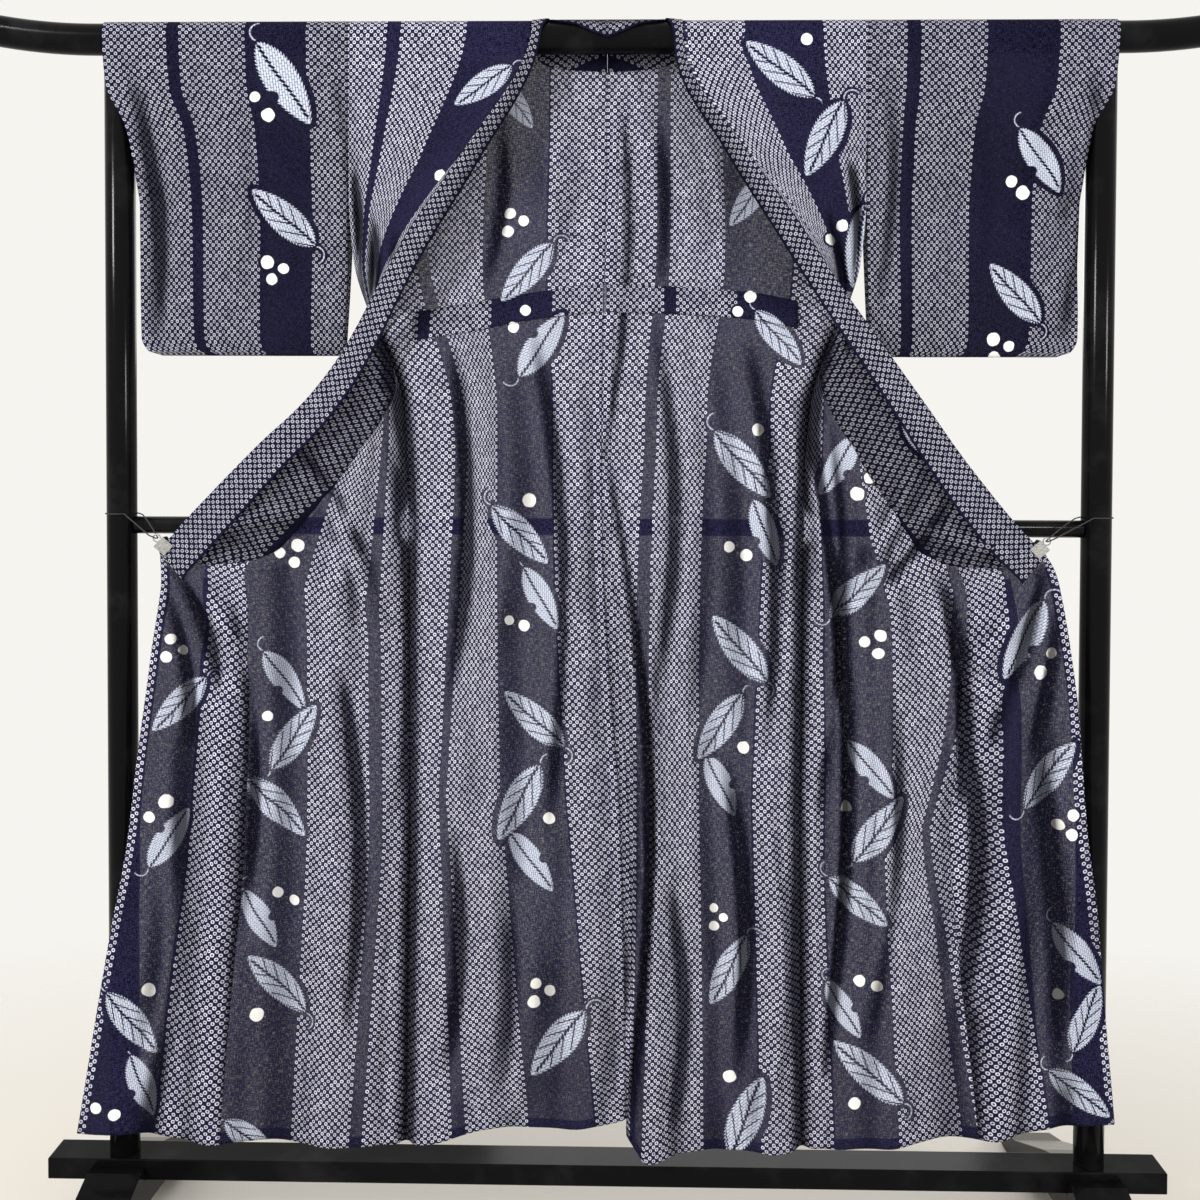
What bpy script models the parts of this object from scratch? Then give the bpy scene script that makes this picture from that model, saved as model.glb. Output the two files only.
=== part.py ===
"""Cotton yukata robe hung open on a black kimono stand.

The robe is threaded on the stand's rail through both sleeves. Its back hangs behind the rail, its fronts
are folded over the rail, drawn aside along the collar and held at the posts by two small clips on cords.
Each cut piece of cloth is an open grid surface with Solidify. Lengths in tables are in millimetres.
"""

import math

import bmesh
import bpy
import numpy as np
from mathutils import Vector

MM = 0.001

# Stand
RAIL_RADIUS = 21.0
RAIL_Z = 1672.5
RAIL_STRAIGHT = 700.0
RAIL_END = 900.0
RAIL_RISE = 25.0
POST_X = 673.0
POST_RADIUS = 20.0
BEAM_TOP = 122.0
BEAM_HEIGHT = 29.0
BEAM_DEPTH = 46.0
BEAM_HALF = 772.0
MID_BAR_RADIUS = 12.0
MID_BAR_Z = 1002.5
FOOT_WIDTH = 75.0
FOOT_REACH = 250.0
SEAT = 0.3

# Cloth
CLOTH = 1.4
COLLAR_CLOTH = 2.4
SEAM = 0.3
OVERLAP_GAP = 0.55
SHOULDER_GAP = 0.4
LENGTH = 1565.0
WRAP_RADIUS = RAIL_RADIUS + SEAT + CLOTH / 2 + 0.4
WRAP = WRAP_RADIUS * math.pi / 2
COLLAR_RADIUS = RAIL_RADIUS + COLLAR_CLOTH / 2 + 0.8
ARMHOLE = 245.0
SIDE_SEAM_TOP = 470.0
NECK_BACK = 72.0
NECK_ROWS = (42, 49, 55, 60, 64, 68, NECK_BACK)
OVERLAP_TOP = 215.0
CLIP_AT = 835.0

# Side edge of the body from the rail down, seen on the viewer's left. x is the distance from the centre line.
# Columns: way down the cloth, x, y of the front edge, y of the back edge, z
SIDE_EDGE = (
    (35, 352, -22, 22, 1672),
    (147, 352, -22, 22, 1560),
    (ARMHOLE, 352, -18, 18, 1462),
    (340, 345, -19, 6, 1367),
    (420, 322, -21, -10, 1288),
    (SIDE_SEAM_TOP, 300, -23, -23, 1240),
    (540, 280, -23, -23, 1170),
    (700, 271, -24, -24, 1011),
    (900, 270, -26, -26, 811),
    (1100, 269, -28, -28, 611),
    (1300, 271, -30, -30, 411),
    (LENGTH, 274, -32, -32, 148),
)

# Centre back seam from the neck down. Columns: way down the cloth, x, y, z
CENTRE_BACK = (
    (NECK_BACK, 0, 27, 1637),
    (200, -1, 25, 1509),
    (325, -2, 16, 1385),
    (470, -5, 0, 1240),
    (600, -6, -10, 1109),
    (740, -3, -20, 972),
    (900, 6, -24, 812),
    (1080, 21, -27, 630),
    (1250, 27, -29, 462),
    (LENGTH, 32, -31, 186),
)

# Neck opening of the back, from the shoulder to the centre. Columns: way down the cloth, x, y, z
NECKLINE = (
    (35, 103, 24, 1672),
    (50, 99, 26, 1655),
    (60, 84, 27, 1645),
    (66, 55, 27, 1640),
    (NECK_BACK, 3, 27, 1637),
)

# Outer line of each front: down the collar seam to the clip, then down the free edge to the hem.
# Columns: way down the cloth, x, y, z
FRONT_LINE = {
    "left": (
        (35, 103, -22, 1672),
        (65, 112, -26, 1640),
        (205, 193, -36, 1511),
        (345, 276, -46, 1382),
        (500, 353, -52, 1237),
        (575, 402, -53, 1173),
        (655, 464, -52, 1115),
        (735, 526, -49, 1053),
        (805, 581, -45, 995),
        (CLIP_AT, 602, -44, 967),
        (870, 601, -44, 937),
        (975, 616, -45, 822),
        (1090, 633, -45, 699),
        (1220, 651, -45, 562),
        (1330, 673, -45, 447),
        (LENGTH, 720, -45, 171),
    ),
    "right": (
        (35, 103, -22, 1672),
        (60, 106, -26, 1644),
        (190, 177, -36, 1527),
        (325, 258, -46, 1409),
        (430, 320, -51, 1315),
        (532, 383, -53, 1227),
        (603, 427, -53, 1166),
        (675, 472, -52, 1103),
        (796, 554, -46, 1004),
        (CLIP_AT, 589, -44, 969),
        (870, 603, -44, 945),
        (942, 619, -45, 869),
        (1039, 634, -45, 767),
        (1189, 647, -45, 608),
        (1313, 664, -45, 477),
        (1460, 678, -45, 321),
        (LENGTH, 689, -45, 203),
    ),
}

# Overlap seam as a share of the way from the side edge to the outer line. Columns: way down, share
OVERLAP_SEAM = {
    "left": (
        (OVERLAP_TOP, 1.0),
        (350, 0.87),
        (500, 0.78),
        (655, 0.71),
        (845, 0.66),
        (1090, 0.60),
        (LENGTH, 0.557),
    ),
    "right": (
        (OVERLAP_TOP, 1.0),
        (350, 0.87),
        (500, 0.78),
        (655, 0.71),
        (845, 0.66),
        (1040, 0.58),
        (1200, 0.53),
        (LENGTH, 0.564),
    ),
}

# Folds of the fronts: a soft ridge (depth below 0, towards the viewer) or trough that runs down the cloth.
# Columns: side, share across at its top, share at its foot, top, foot, half width as a share, depth
FRONT_FOLDS = (
    ("left", 0.06, 0.05, 520, 1650, 0.05, 9),
    ("left", 0.34, 0.22, 480, 1650, 0.06, -8),
    ("left", 0.55, 0.38, 640, 1650, 0.07, 9),
    ("left", 0.74, 0.56, 860, 1700, 0.06, -15),
    ("left", 0.86, 0.78, 900, 1650, 0.05, 8),
    ("right", 0.06, 0.05, 520, 1650, 0.05, 10),
    ("right", 0.36, 0.28, 480, 1650, 0.06, -9),
    ("right", 0.62, 0.45, 700, 1650, 0.07, 10),
    ("right", 0.80, 0.60, 860, 1650, 0.06, -16),
    ("right", 0.90, 0.84, 900, 1650, 0.05, 8),
)

# Folds of the back. Columns: side, share from side to centre at its top, at its foot, top, foot, half width, depth
BACK_FOLDS = (
    ("left", 0.22, 0.16, 420, 1650, 0.08, -7),
    ("left", 0.52, 0.46, 640, 1650, 0.09, 6),
    ("left", 0.84, 0.78, 480, 1650, 0.08, -7),
    ("right", 0.24, 0.18, 420, 1650, 0.08, -8),
    ("right", 0.55, 0.50, 640, 1650, 0.09, 6),
    ("right", 0.90, 0.84, 600, 1750, 0.10, -16),
)

# Hem of the back: how far the cloth hangs below its rows.
# Columns: share from side to centre, drop on the left, drop on the right
HEM_DROP = ((0.0, 0, 0), (0.35, -14, 8), (0.7, -6, 28), (0.9, -2, 44), (1.0, -6, 16))

# Collar strip, as offsets from the seam line that it is sewn to: through its middle to its free edge.
# Columns: way down, middle x, y, z, free edge x, y, z. A plus in x is towards the centre line.
COLLAR_SECTION = (
    (-NECK_BACK, 0, -1, 40, 0, -8, 70),
    (-66, 2, -1, 37, 6, -8, 64),
    (-60, 6, -1, 31, 14, -9, 56),
    (-50, 9, -2, 26, 24, -10, 44),
    (-WRAP, 12, -1, 22, 34, -16, 32),
    (0, 22, 0, 4, 46, -1, 6),
    (WRAP, 15, -1, -1, 30, 0, -1),
    (65, 14, 6, -6, 27, 18, -10),
    (205, 20, 7, -12, 38, 22, -24),
    (345, 24, 1, -16, 46, 8, -31),
    (500, 23, -1, -16, 44, -3, -32),
    (655, 20, -1, -19, 39, -3, -37),
    (760, 19, 0, -19, 37, -1, -37),
    (CLIP_AT, 17, 0, -19, 32, 0, -37),
)

# Where the collar's first edge lies from that seam line: beside it as far as the chest, then on top of the cloth.
# Columns: way down, x, y, z
COLLAR_LIFT = (
    (-NECK_BACK, 0, 0, 0.7),
    (-64, -0.2, 0, 0.7),
    (-58, -0.4, 0, 0.6),
    (-49, -0.7, 0, 0.2),
    (0, -0.7, 0, 0),
    (205, -0.7, -0.6, -0.3),
    (345, -0.4, -2.3, -0.2),
    (420, 0, -2.6, 0),
    (CLIP_AT, 0, -2.6, 0),
)

# Back tuck, a fold of cloth across the back. Columns: x, z of its lower edge, z of its upper edge
TUCK = (
    (-262, 1258, 1298),
    (-200, 1268, 1308),
    (-100, 1288, 1326),
    (0, 1299, 1338),
    (100, 1296, 1334),
    (190, 1289, 1327),
    (262, 1276, 1314),
)

# Sleeve in section from its bottom seam up to the rail. Columns: z, distance of each layer from the rail's plane
SLEEVE_LAYER = (
    (1238, 2.2),
    (1252, 6),
    (1290, 10),
    (1380, 14),
    (1462, 18),
    (1490, 21.6),
    (1560, 22.2),
    (1672, 22.2),
)

# Outer end of a sleeve, open at the wrist above and sewn below. Columns: z, x, share of the layer distance kept
SLEEVE_END = (
    (1238, 616, 1.0),
    (1244, 634, 0.5),
    (1262, 643, 0.16),
    (1340, 644, 0.12),
    (1440, 644, 0.14),
    (1475, 645, 0.7),
    (1542, 655, 1.0),
    (1601, 682, 1.0),
    (1660, 688, 1.0),
    (1700, 689, 1.0),
)

# Inner edge of a sleeve at the armhole. Columns: z, x
SLEEVE_INNER = ((1238, 360), (1462, 352.6), (1700, 352.6))

MATERIALS = {
    "lacquer": ((0.012, 0.012, 0.013), 0.18, 0.0),
    "cotton": ((0.035, 0.032, 0.075), 0.9, 0.0),
    "cotton_dots": ((0.20, 0.20, 0.27), 0.9, 0.0),
    "clip_steel": ((0.62, 0.62, 0.62), 0.25, 1.0),
    "cord": ((0.02, 0.02, 0.02), 0.8, 0.0),
}


def clear_scene():
    for old in list(bpy.data.objects):
        bpy.data.objects.remove(old, do_unlink=True)


def new_material(name, kind):
    colour, roughness, metallic = MATERIALS[kind]
    material = bpy.data.materials.new(name)
    material.use_nodes = True
    shader = material.node_tree.nodes["Principled BSDF"]
    shader.inputs["Base Color"].default_value = (*colour, 1.0)
    shader.inputs["Roughness"].default_value = roughness
    shader.inputs["Metallic"].default_value = metallic
    return material


def add_object(name, data, collection, kind):
    obj = bpy.data.objects.new(name, data)
    data.materials.append(new_material(name, kind))
    collection.objects.link(obj)
    return obj


def finish_bmesh(name, bm, collection, kind):
    bmesh.ops.recalc_face_normals(bm, faces=bm.faces)
    mesh = bpy.data.meshes.new(name)
    bm.to_mesh(mesh)
    bm.free()
    return add_object(name, mesh, collection, kind)


def through(table, at):
    """Smooth curve through a table's rows, by cubic Hermite pieces; at is an array of first-column values."""
    rows = np.array(table, float)
    knots, values = rows[:, 0], rows[:, 1:]
    secants = np.diff(values, axis=0) / np.diff(knots)[:, None]
    before, after = secants[:-1], secants[1:]
    level = before * after <= 0
    inner = np.where(level, 0, 2 * before * after / np.where(level, 1, before + after))
    slopes = np.concatenate([secants[:1], inner, secants[-1:]])
    at = np.clip(np.asarray(at, float), knots[0], knots[-1])
    i = np.clip(np.searchsorted(knots, at, side="right") - 1, 0, len(knots) - 2)
    step = (knots[i + 1] - knots[i])[..., None]
    t = ((at - knots[i]) / (knots[i + 1] - knots[i]))[..., None]
    start, end = values[i], values[i + 1]
    start_slope, end_slope = slopes[i] * step, slopes[i + 1] * step
    return (
        start * (2 * t**3 - 3 * t**2 + 1)
        + start_slope * (t**3 - 2 * t**2 + t)
        + end * (3 * t**2 - 2 * t**3)
        + end_slope * (t**3 - t**2)
    )


def over_rail(down, x):
    """Points of a line over the rail: a quarter turn for each side of the shoulder, minus for the back."""
    turn = down / WRAP_RADIUS
    return np.stack([x, -WRAP_RADIUS * np.sin(turn), RAIL_Z + WRAP_RADIUS * np.cos(turn)], axis=-1)


def edge_line(table, down):
    """Points of a hanging edge, in mm: round the rail to the first row of its table, then through the table."""
    hanging = through(table, np.maximum(np.abs(down), table[0][0]))
    wrapped = over_rail(down, np.full_like(down, table[0][1], dtype=float))
    return np.where((np.abs(down) <= WRAP)[:, None], wrapped, hanging)


def side_edge(down, back):
    rows = [(d, x, y_back if back else y_front, z) for d, x, y_front, y_back, z in SIDE_EDGE]
    return edge_line(rows, down)


def ridges(table, side, share, down):
    """Depth in mm that the folds of one side add at each share across and way down."""
    depth = np.zeros(np.broadcast(share, down).shape)
    for where, at_top, at_foot, top, foot, half, height in table:
        if where != side:
            continue
        along = np.clip((down - top) / (foot - top), 0, 1)
        centre = at_top + (at_foot - at_top) * along
        grown = np.clip(along * 3, 0, 1) ** 2 * (3 - 2 * np.clip(along * 3, 0, 1))
        depth += height * grown * np.exp(-(((share - centre) / half) ** 2))
    return depth


def mirrored(points, side):
    sign = np.array([-1.0 if side == "left" else 1.0, 1.0, 1.0])
    return points * sign


def front_line(side, down):
    return edge_line(FRONT_LINE[side], down)


def front_points(side, down, share):
    """Points across a front, with share 0 at its side edge and 1 at its outer line."""
    start = side_edge(down, back=False)[:, None, :]
    end = front_line(side, down)[:, None, :]
    share = share if share.ndim == 2 else share[None, :]
    points = start + (end - start) * share[..., None]
    points[..., 1] += ridges(FRONT_FOLDS, side, share, down[:, None])
    bow = np.interp(down, (WRAP, 120, 260, 420, 600), (0, -5, -7, -2, 0))
    points[..., 1] += bow[:, None] * np.sin(np.pi * share)
    return mirrored(points, side)


def back_points(side, down, share):
    """Points across a half back, with share 0 at its side edge and 1 at the neck or the centre back seam."""
    start = side_edge(-down, back=True)
    sign = -1.0 if side == "left" else 1.0
    centre = through(CENTRE_BACK, down)
    centre[:, 0] = centre[:, 0] * sign
    neck = edge_line(NECKLINE, -down)
    end = np.where((down < NECK_BACK)[:, None], neck, centre)
    points = start[:, None, :] + (end - start)[:, None, :] * share[None, :, None]
    points[..., 1] += ridges(BACK_FOLDS, side, share[None, :], down[:, None])
    drop = np.interp(share, [row[0] for row in HEM_DROP], [row[1 if side == "left" else 2] for row in HEM_DROP])
    low = np.clip((down - 700) / (LENGTH - 700), 0, 1) ** 2
    points[..., 2] -= low[:, None] * drop[None, :]
    return mirrored(points, side)


def cloth_piece(name, points, collection, kind="cotton", thickness=CLOTH, closed=False):
    """An open grid of points in mm, made a wall of cloth by Solidify. closed joins its last row to its first."""
    rows, columns = points.shape[:2]
    bm = bmesh.new()
    grid = [[bm.verts.new(Vector(point) * MM) for point in row] for row in points]
    for r in range(rows if closed else rows - 1):
        below = grid[(r + 1) % rows]
        for c in range(columns - 1):
            bm.faces.new((grid[r][c], grid[r][c + 1], below[c + 1], below[c]))
    obj = finish_bmesh(name, bm, collection, kind)
    wall = obj.modifiers.new("Wall", "SOLIDIFY")
    wall.thickness = thickness * MM
    wall.offset = 0.0
    wall.use_even_offset = False
    return obj


def rows_down(first, last, count):
    return np.linspace(first, last, count)


def front_rows():
    turn = np.linspace(SHOULDER_GAP, WRAP, 7)
    return np.concatenate([turn, (50, 75, 110, 150, 190), rows_down(230, 1000, 20), rows_down(1050, LENGTH, 10)])


def back_rows():
    turn = np.linspace(SHOULDER_GAP, WRAP, 7)
    return np.concatenate([turn, NECK_ROWS, (95, 130, 180), rows_down(230, 700, 11), rows_down(760, LENGTH, 13)])


def seam_gap(points, first=SEAM / 2, last=SEAM / 2):
    """Draws the first and last column of a grid in by half a seam's gap."""
    ahead = points[:, 1] - points[:, 0]
    behind = points[:, -2] - points[:, -1]
    points[:, 0] += ahead / np.linalg.norm(ahead, axis=1)[:, None] * first
    points[:, -1] += behind / np.linalg.norm(behind, axis=1)[:, None] * last
    return points


def make_front(side, collection):
    down = front_rows()
    seam = through(OVERLAP_SEAM[side], np.maximum(down, OVERLAP_TOP))[:, 0]
    share = np.linspace(0, 1, 14)[None, :] * seam[:, None]
    points = seam_gap(front_points(side, down, share), first=0.5, last=OVERLAP_GAP)
    return cloth_piece(f"front_{side}", points, collection)


def make_overlap(side, collection):
    down = front_rows()
    down = down[down > OVERLAP_TOP]
    seam = through(OVERLAP_SEAM[side], down)[:, 0]
    share = seam[:, None] + np.linspace(0, 1, 5)[None, :] * (1 - seam[:, None])
    points = seam_gap(front_points(side, down, share), first=OVERLAP_GAP)
    return cloth_piece(f"overlap_{side}", points, collection)


def make_back(side, collection):
    down = back_rows()
    points = seam_gap(back_points(side, down, np.linspace(0, 1, 14)), first=0.5)
    return cloth_piece(f"back_{side}", points, collection)


def collar_seam(side, down):
    """Line that the collar is sewn to: the neckline behind the shoulder, the front's outer line before it."""
    behind = edge_line(NECKLINE, down)
    before = front_line(side, down)
    line = np.where((down < 0)[:, None], behind, before)
    blend = np.clip((down + WRAP) / (2 * WRAP), 0, 1)
    wrapped_x = behind[:, 0] * (1 - blend) + before[:, 0] * blend
    line[:, 0] = np.where(np.abs(down) <= WRAP, wrapped_x, line[:, 0])
    return line


def collar_points(side, down, share):
    """Points of the collar strip, a curve through its seam, its middle and its free edge, laid on the cloth."""
    seam = collar_seam(side, down) + through(COLLAR_LIFT, down)
    offsets = through(COLLAR_SECTION, down) * np.array((-1, 1, 1, -1, 1, 1))
    middle, edge = seam + offsets[:, :3], seam + offsets[:, 3:]
    s = share[None, :, None]
    points = (
        seam[:, None] * (1 - s) * (1 - 2 * s)
        + middle[:, None] * 4 * s * (1 - s)
        + edge[:, None] * s * (2 * s - 1)
    )
    from_rail = np.hypot(points[..., 1], points[..., 2] - RAIL_Z)
    pushed = np.maximum(1, COLLAR_RADIUS / from_rail)
    points[..., 1] *= pushed
    points[..., 2] = RAIL_Z + (points[..., 2] - RAIL_Z) * pushed
    return mirrored(points, side)


def make_collar(side, collection):
    behind = [-row for row in reversed(NECK_ROWS)]
    turn = np.linspace(-WRAP, WRAP, 9)
    down = np.concatenate([behind, turn, (46, 65, 90, 120), rows_down(150, CLIP_AT, 18)])
    points = collar_points(side, down, np.linspace(0, 1, 5))
    points[0, :, 0] = (-1.0 if side == "left" else 1.0) * SEAM / 2
    return cloth_piece(f"collar_{side}", points, collection, "cotton_dots", COLLAR_CLOTH)


def make_tuck(collection):
    """The back tuck, made from the back's own points and moved out towards the viewer."""
    columns = np.linspace(TUCK[0][0], TUCK[-1][0], 17)
    edges = through(TUCK, columns)
    lift = CLOTH + SEAM + 0.5
    down_all = rows_down(300, 560, 40)
    rows = []
    for x, (low, high) in zip(columns, edges):
        side = "left" if x < 0 else "right"
        share = 1 - abs(x) / 300
        for _ in range(4):
            line = back_points(side, down_all, np.array((share,)))[:, 0]
            at = np.argmin(np.abs(line[:, 2] - (low + high) / 2))
            share = np.clip(share + (abs(line[at, 0]) - abs(x)) / 300, 0, 1)
        heights = np.linspace(low, high, 3)
        depth = np.interp(heights, line[::-1, 2], line[::-1, 1]) - lift
        rows.append(np.stack([np.full(3, x), depth, heights], axis=1))
    return cloth_piece("back_tuck", np.array(rows), collection, "cotton")


def sleeve_loop():
    """Heights, layer distances and sides of the points round a sleeve: up its front, over the rail, down its back."""
    heights = np.array((1238.0, 1245, 1258, 1285, 1330, 1390, 1440, 1475, 1520, 1575, 1630))
    distance = through(SLEEVE_LAYER, heights)[:, 0]
    turn = np.linspace(-math.pi / 2, math.pi / 2, 9)
    front = np.stack([-distance, heights], axis=1)
    top = np.stack([WRAP_RADIUS * np.sin(turn), RAIL_Z + WRAP_RADIUS * np.cos(turn)], axis=1)
    return np.concatenate([front, top, np.stack([distance, heights], axis=1)[::-1]])


def make_sleeve(side, collection):
    loop = sleeve_loop()
    outer = through(SLEEVE_END, loop[:, 1])
    inner = through(SLEEVE_INNER, loop[:, 1])[:, 0]
    share = np.array((0, 0.12, 0.26, 0.4, 0.54, 0.68, 0.8, 0.89, 0.95, 1.0))
    x = inner[:, None] + (outer[:, :1] - inner[:, None]) * share[None, :]
    keep = 1 + (outer[:, 1:2] - 1) * np.clip((share[None, :] - 0.8) / 0.15, 0, 1)
    low = np.clip((1475 - loop[:, 1]) / 40, 0, 1)
    wave = 3.0 * np.sin(x / 62.0) * low[:, None] + 1.5 * np.sin(x / 31.0 + 1.0) * low[:, None]
    least = CLOTH / 2 + 0.5
    distance = np.abs(loop[:, :1]) * keep
    sign = np.where(loop[:, :1] < 0, -1.0, 1.0)
    y = sign * np.maximum(distance, least) + wave
    points = np.stack([x, y, np.broadcast_to(loop[:, 1:], x.shape)], axis=2)
    return cloth_piece(f"sleeve_{side}", mirrored(points, side), collection, closed=True)


def tube(name, points, radius, collection, kind, resolution, cyclic=False):
    """A tube through points in mm, as a poly curve with a round bevel and filled caps."""
    curve = bpy.data.curves.new(name, "CURVE")
    curve.dimensions = "3D"
    curve.bevel_depth = radius * MM
    curve.bevel_resolution = resolution
    curve.use_fill_caps = not cyclic
    spline = curve.splines.new("POLY")
    spline.points.add(len(points) - 1)
    for target, point in zip(spline.points, points):
        target.co = (*(value * MM for value in point), 1.0)
    spline.use_cyclic_u = cyclic
    return add_object(name, curve, collection, kind)


def make_rail(collection):
    """Straight between the posts, with ends that curve up in a parabola."""
    reach = RAIL_END - RAIL_STRAIGHT
    ends = [RAIL_STRAIGHT + reach * step / 6 for step in range(7)]
    xs = [-x for x in reversed(ends)] + [-230, 230] + ends
    points = [(x, 0, RAIL_Z + RAIL_RISE * (max(abs(x) - RAIL_STRAIGHT, 0) / reach) ** 2) for x in xs]
    return tube("rail", points, RAIL_RADIUS, collection, "lacquer", 8)


def cylinder(name, radius, length, centre, along_x, collection, kind="lacquer", sides=48):
    bm = bmesh.new()
    bmesh.ops.create_cone(bm, cap_ends=True, segments=sides, radius1=radius * MM, radius2=radius * MM, depth=length * MM)
    obj = finish_bmesh(name, bm, collection, kind)
    obj.location = Vector(centre) * MM
    obj.rotation_euler = (0, math.pi / 2 if along_x else 0, 0)
    return obj


def make_posts(collection):
    foot = BEAM_TOP + SEAT
    top = RAIL_Z - RAIL_RADIUS - SEAT
    for side, sign in (("left", -1), ("right", 1)):
        cylinder(f"post_{side}", POST_RADIUS, top - foot, (sign * POST_X, 0, (top + foot) / 2), False, collection)


def make_mid_bar(collection):
    length = 2 * (POST_X - POST_RADIUS - SEAT)
    return cylinder("mid_bar", MID_BAR_RADIUS, length, (0, 0, MID_BAR_Z), True, collection)


def make_beam(collection):
    bm = bmesh.new()
    bmesh.ops.create_cube(bm, size=1.0)
    bmesh.ops.scale(bm, vec=(2 * BEAM_HALF * MM, BEAM_DEPTH * MM, BEAM_HEIGHT * MM), verts=bm.verts)
    obj = finish_bmesh("base_beam", bm, collection, "lacquer")
    obj.location = (0, 0, (BEAM_TOP - BEAM_HEIGHT / 2) * MM)
    bevel = obj.modifiers.new("Soft edges", "BEVEL")
    bevel.width = 1.5 * MM
    bevel.segments = 2
    return obj


def make_foot(side, collection):
    """A saddle block along Y that cups the beam, with an arm sloping to the floor in front and behind."""
    notch = BEAM_DEPTH / 2 + SEAT
    bed = BEAM_TOP - BEAM_HEIGHT - SEAT
    half = (
        (notch, bed),
        (notch, 111),
        (38, 111),
        (70, 98),
        (FOOT_REACH - 60, 40),
        (FOOT_REACH - 8, 22),
        (FOOT_REACH, 14),
        (FOOT_REACH, 0),
        (FOOT_REACH - 55, 0),
        (FOOT_REACH - 90, 14),
        (80, 44),
        (0, 52),
    )
    outline = list(half) + [(-y, z) for y, z in reversed(half[:-1])]
    curve = bpy.data.curves.new(f"foot_{side}", "CURVE")
    curve.dimensions = "2D"
    curve.fill_mode = "BOTH"
    curve.extrude = FOOT_WIDTH / 2 * MM
    spline = curve.splines.new("POLY")
    spline.points.add(len(outline) - 1)
    for target, (y, z) in zip(spline.points, outline):
        target.co = (y * MM, z * MM, 0, 1)
    spline.use_cyclic_u = True
    obj = add_object(f"foot_{side}", curve, collection, "lacquer")
    obj.rotation_euler = (math.pi / 2, 0, math.pi / 2)
    obj.location = ((-POST_X if side == "left" else POST_X) * MM, 0, 0)
    return obj


def clip_frame(side):
    """Centre of the clip on the collar's outer line, and its direction into the cloth."""
    sign = -1.0 if side == "left" else 1.0
    centre = front_line(side, np.array((CLIP_AT - 12.0,)))[0]
    return Vector((sign * centre[0], centre[1] - 1.1, centre[2])), Vector((-sign * 0.72, 0, -0.69))


def make_clip(side, collection):
    """A sprung clip bent from one strip: two jaws, joined by a web outside the cloth."""
    centre, inward = clip_frame(side)
    inner, sheet, web, reach, width = 3.7, 1.0, -6.0, 11.0, 18.0
    outline = (
        (reach, inner),
        (reach, inner + sheet),
        (web - sheet, inner + sheet + 3.0),
        (web - sheet, -inner - sheet - 3.0),
        (reach, -inner - sheet),
        (reach, -inner),
        (web, -inner - 3.0),
        (web, inner + 3.0),
    )
    bm = bmesh.new()
    along = inward.cross(Vector((0, 1, 0)))
    ends = []
    for step in (-0.5, 0.5):
        points = [centre + inward * a + Vector((0, y, 0)) + along * (width * step) for a, y in outline]
        ends.append([bm.verts.new(point * MM) for point in points])
    count = len(outline)
    for i in range(count):
        j = (i + 1) % count
        bm.faces.new((ends[0][i], ends[0][j], ends[1][j], ends[1][i]))
    bm.faces.new(reversed(ends[0]))
    bm.faces.new(ends[1])
    finish_bmesh(f"clip_{side}", bm, collection, "clip_steel")


RING_RADIUS = 5.0
RING_WIRE = 0.9
CORD_RADIUS = 0.9


def ring_centre(side):
    centre, inward = clip_frame(side)
    return centre - inward * (7.0 + RING_RADIUS + RING_WIRE + SEAT)


def make_ring(side, collection):
    centre = ring_centre(side)
    turns = [2 * math.pi * step / 24 for step in range(24)]
    points = [(centre.x + RING_RADIUS * math.cos(a), centre.y, centre.z + RING_RADIUS * math.sin(a)) for a in turns]
    return tube(f"clip_ring_{side}", points, RING_WIRE, collection, "clip_steel", 1, cyclic=True)


def make_cord(side, collection):
    """A cord in one loop: through the ring, out to the post's front, round behind it and back to the ring."""
    sign = -1.0 if side == "left" else 1.0
    centre = ring_centre(side)
    level = MID_BAR_Z + MID_BAR_RADIUS + CORD_RADIUS + 3.0
    round_post = POST_RADIUS + CORD_RADIUS + 0.35
    route = [(centre.x, centre.y - 3.6, centre.z), (centre.x + sign * 9, centre.y - 4.2, centre.z + 4)]
    first = math.radians(-60)
    last = math.radians(-340)
    turns = [first + (last - first) * step / 22 for step in range(23)]
    post = [
        (sign * (POST_X - round_post * math.cos(a)), round_post * math.sin(a), level)
        for a in turns
    ]
    lead = Vector(post[0])
    start = Vector(route[-1])
    route += [tuple(start.lerp(lead, t)) for t in (0.35, 0.7)]
    route += post
    over_bar = Vector((sign * (POST_X - 36), -MID_BAR_RADIUS - 5, level - 0.8))
    route += [tuple(Vector(post[-1]).lerp(over_bar, 0.5)), tuple(over_bar)]
    tail = over_bar
    behind = Vector((centre.x, centre.y + 3.6, centre.z))
    route += [tuple(tail.lerp(behind, t) + Vector((0, 0, 1.5 * math.sin(math.pi * t)))) for t in (0.3, 0.6, 0.85)]
    route.append(tuple(behind))
    return tube(f"clip_cord_{side}", route, CORD_RADIUS, collection, "cord", 2, cyclic=True)


def main():
    clear_scene()
    collection = bpy.data.collections.new("yukata_on_stand")
    bpy.context.scene.collection.children.link(collection)
    make_rail(collection)
    make_posts(collection)
    make_mid_bar(collection)
    make_beam(collection)
    make_tuck(collection)
    for side in ("left", "right"):
        make_foot(side, collection)
        make_back(side, collection)
        make_front(side, collection)
        make_overlap(side, collection)
        make_collar(side, collection)
        make_sleeve(side, collection)
        make_clip(side, collection)
        make_ring(side, collection)
        make_cord(side, collection)


main()
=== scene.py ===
"""Looks for a cotton yukata robe hung open on a black kimono stand.

The cloth is worked out again from the tables that its solids have, on fine grids, with creases, hems and
seam allowances, and carries its tie-dyed bands on a cloth UV map in metres. Lengths in tables are in mm.
"""

import math

import bpy
import numpy as np
from mathutils import Matrix, Vector


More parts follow.
